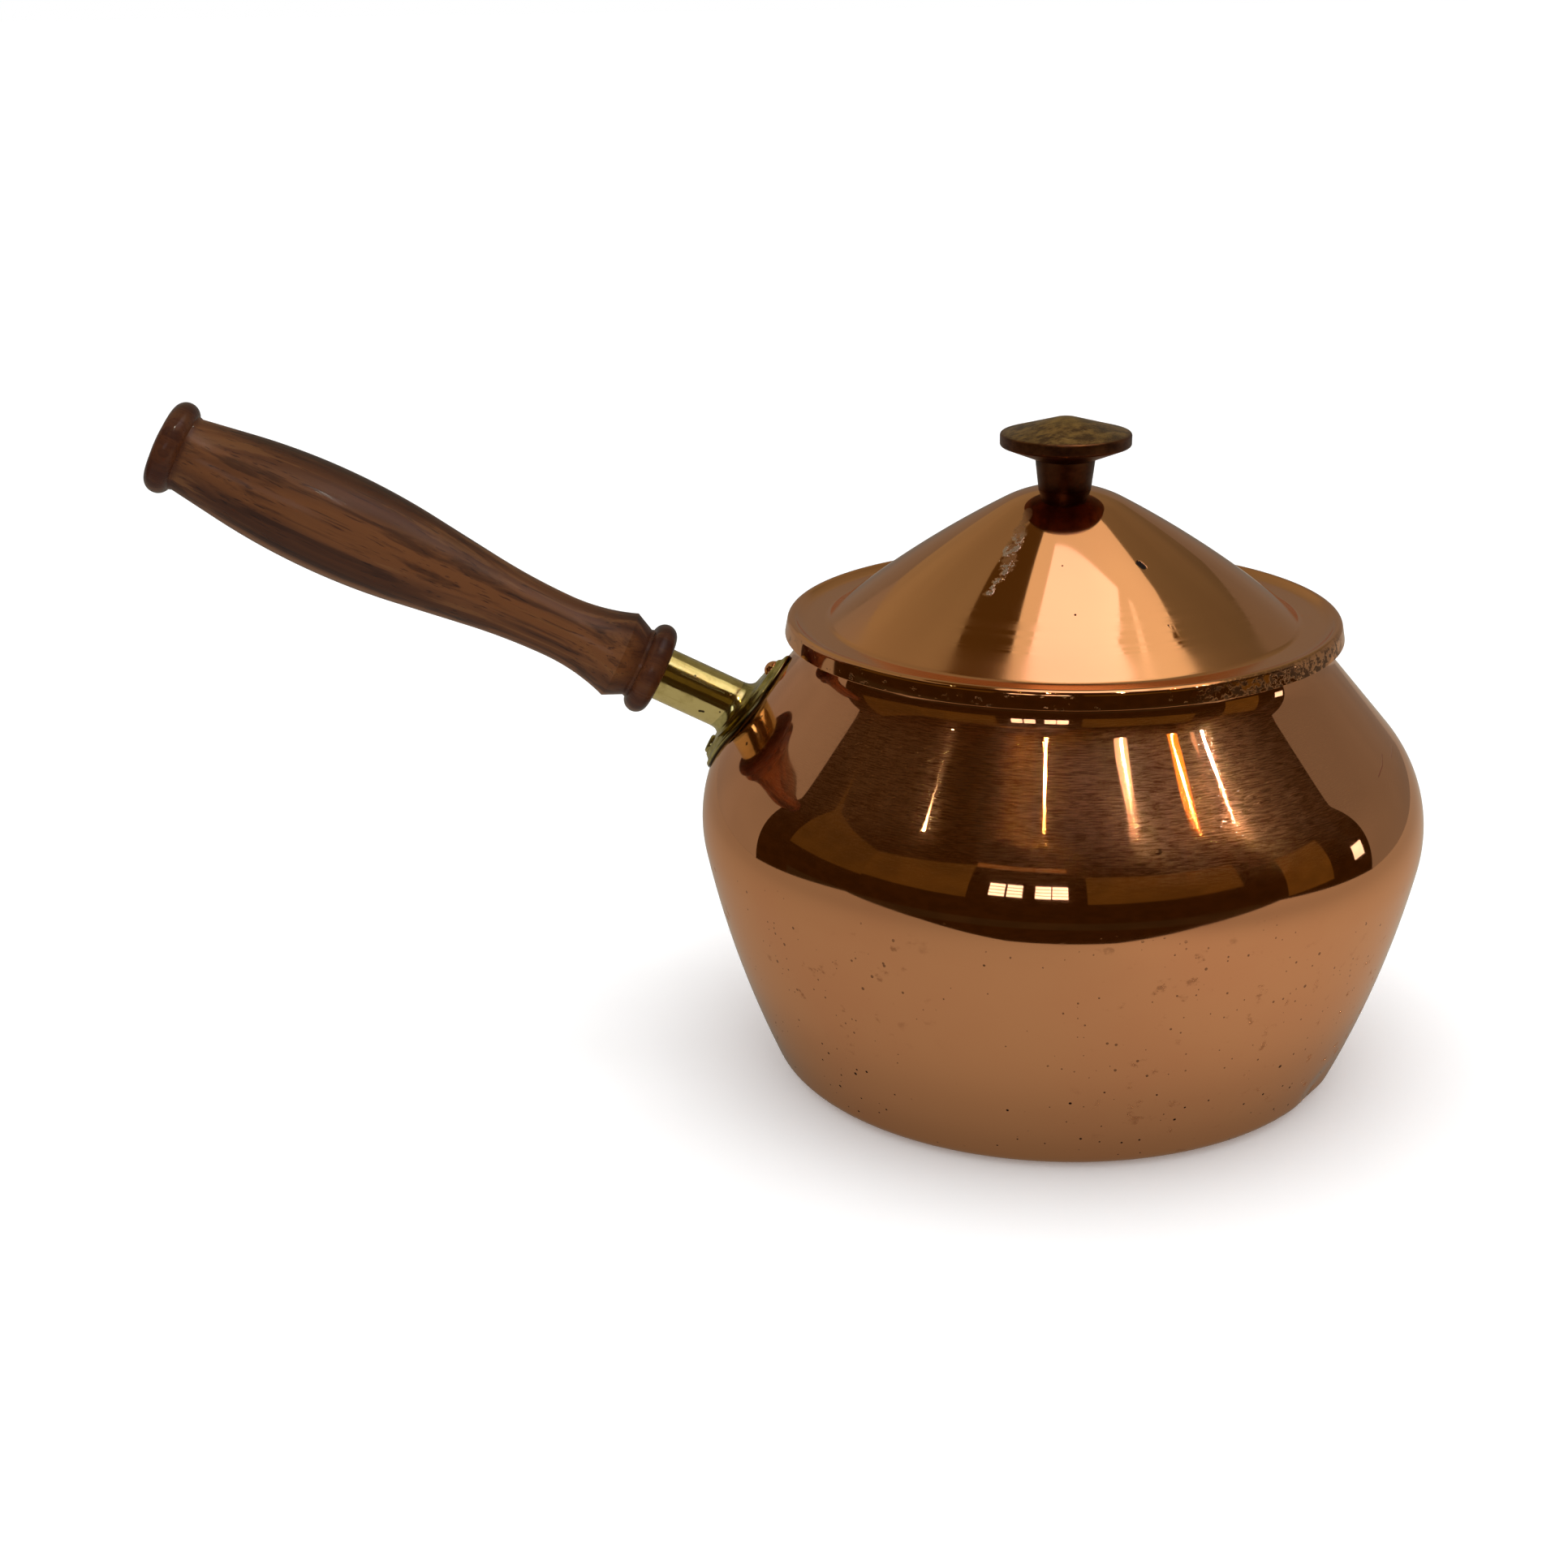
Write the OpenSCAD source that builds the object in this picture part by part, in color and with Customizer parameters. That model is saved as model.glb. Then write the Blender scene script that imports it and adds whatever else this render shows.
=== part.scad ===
// Bulbous copper saucepan with a lift-off copper lid, a brass socket handle
// bracket and a turned hardwood grip.
//
// Frame: millimetres, +Z up. The origin is the centre of the pan's underside,
// on the pan's axis. The handle bracket sits on the -X side.
// Everything round about the pan's axis is drawn as a half section (radius,
// height) and turned. The bracket hangs on the "foot": the point of the
// shoulder's outer face where the grip's axis meets it.

/* [Pan] */
// Widest diameter, at the belly
body_d = 196; // [180:1:215]
// Radius of the turn from base to side
corner_r = 8; // [5:0.5:12]
// Lean of the side from upright where it leaves the base, degrees
side_lean = 23.7; // [20:0.1:28]
// Lean of the side from upright where it meets the belly, degrees
belly_lean = 11.4; // [8:0.1:15]
// Radius of the side's long curve
side_r = 283; // [260:1:320]
// Radius of the belly
belly_r = 37; // [33:0.5:42]
// Inward lean of the straight shoulder from upright, degrees
shoulder_lean = 40; // [36:0.5:44]
// Diameter over the rolled rim
rim_d = 145.2; // [140:0.2:150]
// Radius of the neck's cove
neck_r = 11; // [9:0.5:12]
// Inward lean of the neck from upright at the top of its cove, degrees
neck_lean = 5; // [3:0.5:8]
// Radius of the turn from neck to rim
curl_r = 1.6; // [1.5:0.1:2]
// Radius of the rolled rim
bead_r = 1.2; // [1:0.1:1.5]
// Thickness of the copper sheet
wall = 1.2; // [1:0.1:1.6]
// Thickness of the tin lining
tin = 0.2; // [0.15:0.05:0.3]

/* [Lid] */
// Diameter over the turned-down edge
lid_d = 148.8; // [148:0.1:151]
// Thickness of the lid's copper sheet
lid_t = 1; // [0.8:0.1:1.2]
// Radius of the lid's raised, rounded lip
lip_r = 1.5; // [1.2:0.1:1.8]
// Height of the turned-down edge, lip included
skirt_h = 4.75; // [4:0.25:5.5]
// Radius of the lid's slightly domed cone
dome_r = 300; // [280:5:340]
// Fall of the cone where the crown begins, degrees
dome_top = 29; // [27:0.5:31]
// Fall of the cone at its foot, degrees
dome_foot = 39.5; // [38:0.1:41]
// Radius of the crown round the knob
crown_r = 32; // [24:1:40]
// Distance of the cove's foot from the axis
foot_x = 63.9; // [63:0.1:65]
// Radius of the cove between cone and flange
foot_r = 3; // [2:0.5:4]

/* [Knob] */
// Diameter of the knob's disc
knob_d = 34.5; // [30:0.1:38]
// Height of the knob above its seat
knob_h = 19; // [17:0.2:21]
// Stem diameter at the seat
stem_d = 13.8; // [12:0.2:16]
// Stem diameter below the disc
neck_d = 15.8; // [15:0.2:18]
// Diameter of the knob's threaded stud
stud_d = 4; // [3:0.5:5]

/* [Bracket] */
// Distance of the foot above the shoulder's start, along the shoulder
foot_up = 4.45; // [2:0.25:8]
// Half of the plate's length
plate_l = 20.6; // [19:0.2:23]
// Half of the plate's width
plate_w = 11; // [10:0.2:13]
// Radius of the plate's round lower end
tail_r = 5.8; // [5:0.2:7]
// Thickness of the plate's edge
plate_t = 1.1; // [0.8:0.1:1.4]
// Thickness of the plate's raised middle
pad_t = 2.1; // [1.8:0.1:2.6]
// Distance of the upper rivet above the foot
rivet_s = 14.5; // [13:0.5:16]
// Distance of the lower rivet below the foot
rivet_low = 13; // [12:0.5:15]
// Diameter of the rivets' shanks
shank_d = 3; // [2.5:0.1:3.5]
// Outside diameter of the handle tube
tube_d = 14.7; // [14:0.1:16]
// Thickness of the tube's wall
tube_t = 1.2; // [1:0.1:1.6]
// Height of the brazed fillet round the tube's foot
fillet_r = 2.6; // [2:0.1:3.2]

/* [Grip] */
// Rise of the grip's axis from level, degrees
grip_rise = 27; // [22:0.5:32]
// Sideways lean of the tube on its plate, degrees
grip_skew = 6; // [0:0.5:8]
// Length of tube that shows, from the shoulder's face to the wood
tube_show = 25.2; // [20:0.2:32]
// Length of the wooden grip that shows
grip_l = 147.3; // [140:0.5:160]
// Largest diameter of the grip
swell_d = 28.8; // [26:0.2:32]
// Diameter of the grip's waist
waist_d = 17.7; // [16:0.2:20]
// Diameter of the beads at both ends
end_d = 25.7; // [24:0.1:27]

/* [Hidden] */
$fn = 180;

fit_gap = 0.02;     // between pieces that touch
tin_gap = 0.08;     // between copper and its tin lining
tin_end = 125;      // angle on the rim's turn where the tin stops, short of the rolled rim
skin_gap = 0.05;    // between the pan and its bracket
seat_gap = 0.3;     // between the rim and the lid that rests on it
hole_gap = 0.05;    // round shanks and studs

copper = [0.78, 0.48, 0.36];
tinned = [0.75, 0.75, 0.74];
brass = [0.75, 0.66, 0.38];
bronze = [0.36, 0.26, 0.16];
walnut = [0.3, 0.16, 0.09];

function along(p, a, d) = [p[0] + d * cos(a), p[1] + d * sin(a)];

// Pan section: arc centres and joints, from the base up.
base_r = body_d / 2 - belly_r * (1 - cos(belly_lean))
       - side_r * (cos(belly_lean) - cos(side_lean)) - corner_r * cos(side_lean);
corner_c = [base_r, corner_r];
side_c = along(corner_c, -side_lean, corner_r - side_r);
belly_c = along(side_c, -belly_lean, side_r - belly_r);
shoulder_p = along(belly_c, shoulder_lean, belly_r);
bead_x = rim_d / 2 - bead_r;
neck_x = bead_x + (neck_r - curl_r) * cos(neck_lean);
neck_c = [neck_x, shoulder_p[1] + (neck_r - (neck_x - shoulder_p[0]) * cos(shoulder_lean))
                  / sin(shoulder_lean)];
neck_p = along(neck_c, shoulder_lean, -neck_r);
curl_c = along(neck_c, neck_lean, curl_r - neck_r);
bead_z = curl_c[1] + curl_r + wall / 2;

// Lid section.
flange_z = bead_z + bead_r + seat_gap + lid_t;     // top of the flange
lip_x = lid_d / 2 - lip_r;
skirt_z = flange_z + lip_r - skirt_h;
dome_c = [foot_x - (dome_r + foot_r) * sin(dome_foot),
          flange_z + foot_r - (dome_r + foot_r) * cos(dome_foot)];
foot_c = along(dome_c, 90 - dome_foot, dome_r + foot_r);
crown_c = along(dome_c, 90 - dome_top, dome_r - crown_r);
crown_top = asin((stem_d / 2 - crown_c[0]) / crown_r);
seat_z = crown_c[1] + crown_r * cos(crown_top);    // the knob's seat
tin_top = lid_t + tin_gap;                         // depth of the lid's tin
tin_edge = bead_x - bead_r - 0.4;                  // the lid's tin stops short of the rim
washer_t = 0.8;
nut_h = 3.2;
nut_af = 7;                                        // nut across flats
stud_l = lid_t + tin + washer_t + nut_h + 1;

// Bracket: the foot, and the rivets' stations on the shoulder and the belly.
foot_p = along(shoulder_p, 90 + shoulder_lean, foot_up);
low_turn = shoulder_lean - (rivet_low - foot_up) / belly_r * 180 / PI;
upper_p = along(foot_p, 90 + shoulder_lean, rivet_s);
lower_p = along(belly_c, low_turn, belly_r);
tube_r = tube_d / 2;
tenon_r = tube_r - tube_t - hole_gap;
tenon_u = 6;                                       // where the tenon starts
socket_l = 1.5;                                    // how far the tube enters the wood
pin_u = 11;
pin_d = 1.8;

// Grip section: stations along its axis, from the foot.
grip_u = tube_show;                                // the wood's inner face
end_u = tube_show + grip_l;                        // the wood's outer end
ring_r = 3.25;                                     // radius of the inner bead
ring_c = [end_d / 2 - ring_r, grip_u + ring_r];
groove_r = 10;
groove_u = grip_u + 7.2;
ridge = [12.25, grip_u + 12.4];
waist = [waist_d / 2, grip_u + 31.3];
swell = [swell_d / 2, grip_u + 97.4];
taper = 7.4;                                       // slope of the straight stretch, degrees
out_taper = 8.8;                                   // slope towards the outer end, degrees
knot_r = 3.5;                                      // radius of the outer bead
knot_c = [end_d / 2 - knot_r, end_u - 4.5];
seam = [10.2, end_u - 8.8];
cap_r = 40;                                        // doming of the outer end

// ---- half-section pieces ----

// Points along an arc about c from angle a0 to a1, in n steps.
function arc(c, r, a0, a1, n) = [for (i = [0:n]) along(c, a0 + (a1 - a0) * i / n, r)];
function back(line) = [for (i = [len(line) - 1:-1:0]) line[i]];

// Belly and shoulder, where the bracket sits, at an offset from the pan's outer face.
function bracket_line(o) = concat(
  arc(belly_c, belly_r + o, -belly_lean, shoulder_lean, 16),
  [along(neck_p, shoulder_lean, o)]);

// The pan's side from the axis to an angle on the rim's turn, at an offset from its outer face.
function pan_line(o, last) = concat(
  [[0, -o]],
  arc(corner_c, corner_r + o, -90, -side_lean, 12),
  arc(side_c, side_r + o, -side_lean, -belly_lean, 12),
  bracket_line(o),
  arc(neck_c, neck_r - o, 180 + shoulder_lean, 180 + neck_lean, 10),
  arc(curl_c, curl_r - o, 180 + neck_lean, last, 8));

// The lid from the seat's edge to the end of the flange, at a depth below its top face.
function lid_line(d, edge) = concat(
  arc(crown_c, crown_r - d, 90 - crown_top, 90 - dome_top, 6),
  arc(dome_c, dome_r - d, 90 - dome_top, 90 - dome_foot, 14),
  arc(foot_c, foot_r + d, -90 - dome_foot, -90, 6),
  [[edge, flange_z - d]]);

// Sheet between two lines.
module sheet(outer, inner) {
  polygon(concat(outer, back(inner)));
}

module pan_sheet(o0, o1, last) {
  sheet(pan_line(o1, last), pan_line(o0, last));
}

module bracket_sheet(o0, o1) {
  sheet(bracket_line(o1), bracket_line(o0));
}

// Turned slab between two stations.
module slab(p0, p1) {
  polygon([[0, p0[1]], p0, p1, [0, p1[1]]]);
}

// Arc from p, where it runs along the axis, to q, in n steps.
function bow(p, q, n) =
  let (d = q[1] - p[1], h = q[0] - p[0], r = (d * d + h * h) / (2 * h), a = asin(abs(d / r)))
  [for (i = [0:n]) [p[0] + r * (1 - cos(a * i / n)), p[1] + sign(d) * abs(r) * sin(a * i / n)]];

// ---- places ----

// Z along the shoulder's outward normal, X towards the mouth, at the foot.
module at_foot_normal() {
  translate([-foot_p[0], 0, foot_p[1]]) rotate([0, shoulder_lean - 90, 0]) children();
}

// Z along the grip's axis, from the foot outwards.
module at_grip() {
  translate([-foot_p[0], 0, foot_p[1]]) rotate([0, 0, grip_skew]) rotate([0, grip_rise - 90, 0]) children();
}

// Z along the wall's normal at a rivet.
module at_rivet(p, a) {
  translate([-p[0], 0, p[1]]) rotate([0, a - 90, 0]) children();
}

module rivet_holes() {
  at_rivet(upper_p, shoulder_lean) translate([0, 0, -6]) cylinder(h = 12, d = shank_d + 2 * hole_gap);
  at_rivet(lower_p, low_turn) translate([0, 0, -6]) cylinder(h = 12, d = shank_d + 2 * hole_gap);
}

module at_pin() {
  at_grip() translate([0, 0, pin_u]) rotate([0, 0, 225]) rotate([0, 90, 0]) children();
}

// Leaf outline with a pointed upper end and a round lower end of radius tail.
module leaf(l, w, tail) {
  r = (l * l + w * w) / (2 * w);
  tip_a = atan2(r - w, l);
  tail_a = 180 - acos(sqrt(pow(r - tail, 2) - pow(r - w, 2)) / (r - tail));
  tail_x = (r - tail) * cos(tail_a);
  half = concat(arc([0, w - r], r, tip_a, tail_a, 12), arc([tail_x, 0], tail, tail_a, 180, 8));
  polygon(concat(half, [for (p = back(half)) [p[0], -p[1]]]));
}

// ---- pan ----

module pot_body() {
  color(copper)
    difference() {
      rotate_extrude() {
        pan_sheet(-wall, 0, 90);
        translate([bead_x, bead_z]) circle(bead_r);
      }
      rivet_holes();
    }
}

module pot_lining() {
  color(tinned)
    difference() {
      rotate_extrude() pan_sheet(-wall - tin_gap - tin, -wall - tin_gap, tin_end);
      rivet_holes();
    }
}

// ---- bracket ----

module plate_layer(low, high, inset) {
  intersection() {
    rotate_extrude() bracket_sheet(skin_gap + low, skin_gap + high);
    at_foot_normal() translate([0, 0, -12])
      linear_extrude(height = 24) leaf(plate_l - 1.3 * inset, plate_w - inset, tail_r - inset);
  }
}

module handle_plate() {
  color(brass)
    difference() {
      union() {
        plate_layer(0, plate_t, 0);
        plate_layer(plate_t / 2, pad_t, 1.9);
      }
      rivet_holes();
    }
}

// All that lies below the plate's raised face.
module below_pad() {
  rotate_extrude() bracket_sheet(-14, skin_gap + pad_t + fit_gap);
}

module handle_tube() {
  color(brass)
    difference() {
      at_grip() translate([0, 0, -6])
        difference() {
          cylinder(h = 6 + grip_u + socket_l - fit_gap, r = tube_r);
          translate([0, 0, -1]) cylinder(h = 50, r = tube_r - tube_t);
        }
      below_pad();
      at_pin() cylinder(h = 12, d = pin_d + 2 * fit_gap);
    }
}

// Cove of braze metal between tube and plate.
module braze_fillet() {
  top = pad_t + fillet_r + 2.6;
  color(brass)
    difference() {
      at_grip() rotate_extrude()
        difference() {
          translate([tube_r + fit_gap, -3]) square([fillet_r, top + 3]);
          translate([tube_r + fit_gap + fillet_r, top]) circle(fillet_r);
        }
      below_pad();
    }
}

// Rivet through plate, pan and lining: the outer head is a dome, or an eyelet with a hollow centre.
module rivet(p, a, head_r, head_h, hollow) {
  inner = wall + tin_gap + tin + fit_gap;
  outer = skin_gap + pad_t + fit_gap;
  dome = (head_r * head_r + head_h * head_h) / (2 * head_h);
  difference() {
    union() {
      difference() {
        at_rivet(p, a) {
          translate([0, 0, outer - 0.4]) cylinder(h = 0.4, r = head_r);
          intersection() {
            translate([0, 0, outer + head_h - dome]) sphere(dome);
            translate([0, 0, outer]) cylinder(h = head_h + 1, r = head_r);
          }
          translate([0, 0, -inner - 0.9]) cylinder(h = 1.2, r = 3);
        }
        rotate_extrude() bracket_sheet(-inner, outer);
      }
      at_rivet(p, a) translate([0, 0, -inner - 0.4]) cylinder(h = inner + outer + 0.8, d = shank_d);
    }
    if (hollow) at_rivet(p, a) translate([0, 0, outer - 0.8]) cylinder(h = 5, r = 0.95);
  }
}

module rivet_upper() {
  color(copper) rivet(upper_p, shoulder_lean, 2.4, 1.5, false);
}

module rivet_lower() {
  color(brass) rivet(lower_p, low_turn, 2.5, 1.3, true);
}

module handle_pin() {
  color(bronze)
    at_pin() translate([0, 0, -3]) cylinder(h = 3 + tube_r - 0.35, d = pin_d);
}

// ---- grip ----

module grip_section() {
  slope = [waist[0] + 1.46, waist[1] + 22.5];
  full_u = swell[1] - 25.6;
  full = [slope[0] + (full_u - slope[1]) * tan(taper), full_u];
  out_u = swell[1] + 27.4;
  out = [seam[0] + (seam[1] - out_u) * tan(out_taper), out_u];
  polygon(concat(
    [[0, grip_u]],
    arc(ring_c, ring_r, -90, acos((groove_r - ring_c[0]) / ring_r), 14),
    [[groove_r, groove_u]],
    back(bow(waist, ridge, 12)),
    bow(waist, slope, 8),
    back(bow(swell, full, 8)),
    bow(swell, out, 8),
    [seam],
    arc(knot_c, knot_r, -acos((seam[0] - knot_c[0]) / knot_r), 90, 14),
    arc([0, end_u - cap_r], cap_r, 78, 90, 4)));
}

module handle_grip() {
  color(walnut)
    difference() {
      at_grip()
        difference() {
          rotate_extrude() {
            grip_section();
            translate([0, tenon_u]) square([tenon_r, grip_u - tenon_u + 1]);
          }
          translate([0, 0, grip_u - 1])
            difference() {
              cylinder(h = 1 + socket_l, r = tube_r + hole_gap);
              translate([0, 0, -1]) cylinder(h = 9, r = tenon_r);
            }
        }
      at_pin() translate([0, 0, -3 - fit_gap]) cylinder(h = 12, d = pin_d + 2 * fit_gap);
    }
}

// ---- lid ----

module stud_hole(gap) {
  translate([0, 0, seat_z - 12]) cylinder(h = 14, d = stud_d + 2 * gap);
}

module lid_shell() {
  color(copper)
    difference() {
      rotate_extrude()
        sheet(concat([[0, seat_z]], lid_line(0, lip_x - lip_r), arc([lip_x, flange_z], lip_r, 180, 0, 14),
                     [[lid_d / 2, skirt_z], [lid_d / 2 - lid_t, skirt_z]]),
              concat([[0, seat_z - lid_t]], lid_line(lid_t, lid_d / 2 - lid_t)));
      stud_hole(hole_gap);
    }
}

module lid_lining() {
  color(tinned)
    difference() {
      rotate_extrude()
        sheet(concat([[0, seat_z - tin_top]], lid_line(tin_top, tin_edge)),
              concat([[0, seat_z - tin_top - tin]], lid_line(tin_top + tin, tin_edge)));
      stud_hole(hole_gap);
    }
}

// Disc knob with a low conical top on a tapered stem, with its stud.
module lid_knob() {
  r = knob_d / 2;
  edge = 0.7;
  under = 7.8;
  low = 11.3;
  high = 14.8;
  color(bronze)
    translate([0, 0, seat_z + fit_gap])
      rotate_extrude() {
        slab([stem_d / 2, 0], [neck_d / 2, under]);
        slab([neck_d / 2, under], [r - edge, low]);
        slab([r - edge, low], [r - edge, high]);
        translate([0, low + edge]) square([r, high - low - 2 * edge]);
        translate([r - edge, low + edge]) circle(edge);
        translate([r - edge, high - edge]) circle(edge);
        slab([r - edge, high], [2.6, knob_h - 0.3]);
        slab([2.6, knob_h - 0.3], [0.6, knob_h]);
        translate([0, -stud_l]) square([stud_d / 2, stud_l + 1]);
      }
}

module knob_washer() {
  color(tinned)
    translate([0, 0, seat_z - tin_top - tin - fit_gap - washer_t])
      difference() {
        cylinder(h = washer_t, r = 6);
        translate([0, 0, -1]) cylinder(h = 4, d = stud_d + 4 * hole_gap);
      }
}

module knob_nut() {
  color(tinned)
    translate([0, 0, seat_z - tin_top - tin - washer_t - nut_h - 2 * fit_gap])
      difference() {
        cylinder(h = nut_h, d = nut_af / cos(30), $fn = 6);
        translate([0, 0, -1]) cylinder(h = 6, d = stud_d + 2 * fit_gap);
      }
}

pot_body();
pot_lining();
handle_plate();
handle_tube();
braze_fillet();
rivet_upper();
rivet_lower();
handle_grip();
handle_pin();
lid_shell();
lid_lining();
lid_knob();
knob_washer();
knob_nut();
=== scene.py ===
"""Copper saucepan with a copper lid: camera, light tent, turned meshes, metals and wood."""

from math import acos, asin, atan2, cos, degrees, hypot, pi, radians, sin, tan

import bmesh
import bpy
from mathutils import Matrix, Vector


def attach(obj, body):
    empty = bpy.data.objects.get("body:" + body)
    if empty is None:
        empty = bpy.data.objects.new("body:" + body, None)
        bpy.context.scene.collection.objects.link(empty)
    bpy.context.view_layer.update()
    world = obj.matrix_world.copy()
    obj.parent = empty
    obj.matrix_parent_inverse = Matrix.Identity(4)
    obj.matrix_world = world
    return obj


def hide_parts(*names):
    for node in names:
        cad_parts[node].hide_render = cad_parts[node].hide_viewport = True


MM = 0.001
TURNS = 360  # facets round the pan and the lid

# Driving sizes, in millimetres and degrees, as in the CAD source.
BODY_D = 196
CORNER_R, SIDE_R, BELLY_R, NECK_R, CURL_R, BEAD_R = 8, 283, 37, 11, 1.6, 1.2
SIDE_LEAN, BELLY_LEAN, SHOULDER_LEAN, NECK_LEAN = 23.7, 11.4, 40, 5
RIM_D = 145.2
WALL, TIN, TIN_GAP = 1.2, 0.2, 0.08
LID_D, LID_T, LIP_R, SKIRT_H = 148.8, 1, 1.5, 4.75
DOME_R, DOME_TOP, DOME_FOOT, CROWN_R, FOOT_X, FOOT_R = 300, 29, 39.5, 32, 63.9, 3
SEAT_GAP, SKIN_GAP, HAIR_GAP = 0.3, 0.05, 0.02
KNOB_D, KNOB_H, STEM_D, NECK_D = 34.5, 19, 13.8, 15.8
FOOT_UP = 4.45
LEAF_L, LEAF_W, TAIL_R, PLATE_T, PAD_T = 20.6, 11, 5.8, 1.1, 2.1
RIVET_S, RIVET_LOW, SHANK_D = 14.5, 13, 3
TUBE_D, TUBE_T, TUBE_SHOW = 14.7, 1.2, 25.2
GRIP_RISE, GRIP_SKEW, GRIP_L = 27, 6, 147.3
SWELL_D, WAIST_D, END_D = 28.8, 17.7, 25.7
DENT_R, DENT_DEPTH = 11, 1.1


# ---- outlines: lists of (radius, height) points, in millimetres ----

def along(point, angle, distance):
    """The point that lies a distance away, at an angle in degrees."""
    a = radians(angle)
    return point[0] + distance * cos(a), point[1] + distance * sin(a)


def arc(centre, radius, start, end, steps):
    return [along(centre, start + (end - start) * i / steps, radius) for i in range(steps + 1)]


def bow(p, q, steps):
    """Arc from p, where it runs along the axis, to q."""
    d, h = q[1] - p[1], q[0] - p[0]
    r = (d * d + h * h) / (2 * h)
    a = asin(abs(d / r))
    up = 1 if d > 0 else -1
    turned = [a * i / steps for i in range(steps + 1)]
    return [(p[0] + r * (1 - cos(t)), p[1] + up * abs(r) * sin(t)) for t in turned]


def drop(radius_big, radius_small, reach):
    """Angle at which a circle about the origin meets one whose centre is at that reach."""
    return degrees(acos((radius_big ** 2 + reach ** 2 - radius_small ** 2) / (2 * radius_big * reach)))


def lean(p, centre):
    return degrees(atan2(p[1] - centre[1], p[0] - centre[0]))


BASE_R = (BODY_D / 2 - BELLY_R * (1 - cos(radians(BELLY_LEAN)))
          - SIDE_R * (cos(radians(BELLY_LEAN)) - cos(radians(SIDE_LEAN)))
          - CORNER_R * cos(radians(SIDE_LEAN)))
CORNER_C = (BASE_R, CORNER_R)
SIDE_C = along(CORNER_C, -SIDE_LEAN, CORNER_R - SIDE_R)
BELLY_C = along(SIDE_C, -BELLY_LEAN, SIDE_R - BELLY_R)
SHOULDER_P = along(BELLY_C, SHOULDER_LEAN, BELLY_R)
BEAD_X = RIM_D / 2 - BEAD_R
NECK_X = BEAD_X + (NECK_R - CURL_R) * cos(radians(NECK_LEAN))
NECK_C = (NECK_X, SHOULDER_P[1] + (NECK_R - (NECK_X - SHOULDER_P[0]) * cos(radians(SHOULDER_LEAN)))
          / sin(radians(SHOULDER_LEAN)))
NECK_P = along(NECK_C, SHOULDER_LEAN, -NECK_R)
CURL_C = along(NECK_C, NECK_LEAN, CURL_R - NECK_R)
BEAD_C = (BEAD_X, CURL_C[1] + CURL_R + WALL / 2)
FLANGE_Z = BEAD_C[1] + BEAD_R + SEAT_GAP + LID_T
LIP_C = (LID_D / 2 - LIP_R, FLANGE_Z)
SKIRT_Z = FLANGE_Z + LIP_R - SKIRT_H
DOME_C = (FOOT_X - (DOME_R + FOOT_R) * sin(radians(DOME_FOOT)),
          FLANGE_Z + FOOT_R - (DOME_R + FOOT_R) * cos(radians(DOME_FOOT)))
FOOT_C = along(DOME_C, 90 - DOME_FOOT, DOME_R + FOOT_R)
CROWN_C = along(DOME_C, 90 - DOME_TOP, DOME_R - CROWN_R)
CROWN_TOP = degrees(asin((STEM_D / 2 - CROWN_C[0]) / CROWN_R))
SEAT_Z = CROWN_C[1] + CROWN_R * cos(radians(CROWN_TOP))
BRACKET_P = along(SHOULDER_P, 90 + SHOULDER_LEAN, FOOT_UP)
GRIP_END = TUBE_SHOW + GRIP_L

AT_GRIP = (Matrix.Translation(Vector((-BRACKET_P[0], 0, BRACKET_P[1])) * MM)
           @ Matrix.Rotation(radians(GRIP_SKEW), 4, "Z")
           @ Matrix.Rotation(radians(GRIP_RISE - 90), 4, "Y"))


def pan_line(offset, last):
    """The pan's side from the axis to an angle on the rim's turn, at an offset from its outer face."""
    return ([(0, -offset), (BASE_R * 0.5, -offset), (BASE_R - 1, -offset)]
            + arc(CORNER_C, CORNER_R + offset, -90, -SIDE_LEAN, 24)
            + arc(SIDE_C, SIDE_R + offset, -SIDE_LEAN, -BELLY_LEAN, 40)[1:]
            + arc(BELLY_C, BELLY_R + offset, -BELLY_LEAN, SHOULDER_LEAN, 48)[1:]
            + [along(along(SHOULDER_P, SHOULDER_LEAN, offset), 90 + SHOULDER_LEAN,
                     hypot(NECK_P[0] - SHOULDER_P[0], NECK_P[1] - SHOULDER_P[1]) * i / 12)
               for i in range(1, 12)]
            + arc(NECK_C, NECK_R - offset, 180 + SHOULDER_LEAN, 180 + NECK_LEAN, 24)
            + arc(CURL_C, CURL_R - offset, 180 + NECK_LEAN, last, 10)[1:])


def pan_outline():
    """Outer face, rolled rim, inner face."""
    reach = BEAD_C[1] - CURL_C[1]
    outer = pan_line(0, 90 + drop(CURL_R, BEAD_R, reach))
    inner = pan_line(-WALL, 90 + drop(CURL_R + WALL, BEAD_R, reach))
    bead = arc(BEAD_C, BEAD_R, lean(outer[-1], BEAD_C), lean(inner[-1], BEAD_C), 28)
    return outer + bead[1:-1] + inner[::-1]


def lining_outline():
    near, far, last = -WALL - TIN_GAP, -WALL - TIN_GAP - TIN, 125
    return pan_line(near, last) + pan_line(far, last)[::-1]


def lid_line(depth, edge, steps=40):
    return (arc(CROWN_C, CROWN_R - depth, 90 - CROWN_TOP, 90 - DOME_TOP, 16)
            + arc(DOME_C, DOME_R - depth, 90 - DOME_TOP, 90 - DOME_FOOT, steps)[1:]
            + arc(FOOT_C, FOOT_R + depth, -90 - DOME_FOOT, -90, 14)[1:]
            + [((FOOT_C[0] + edge) / 2, FLANGE_Z - depth), (edge, FLANGE_Z - depth)])


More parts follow.
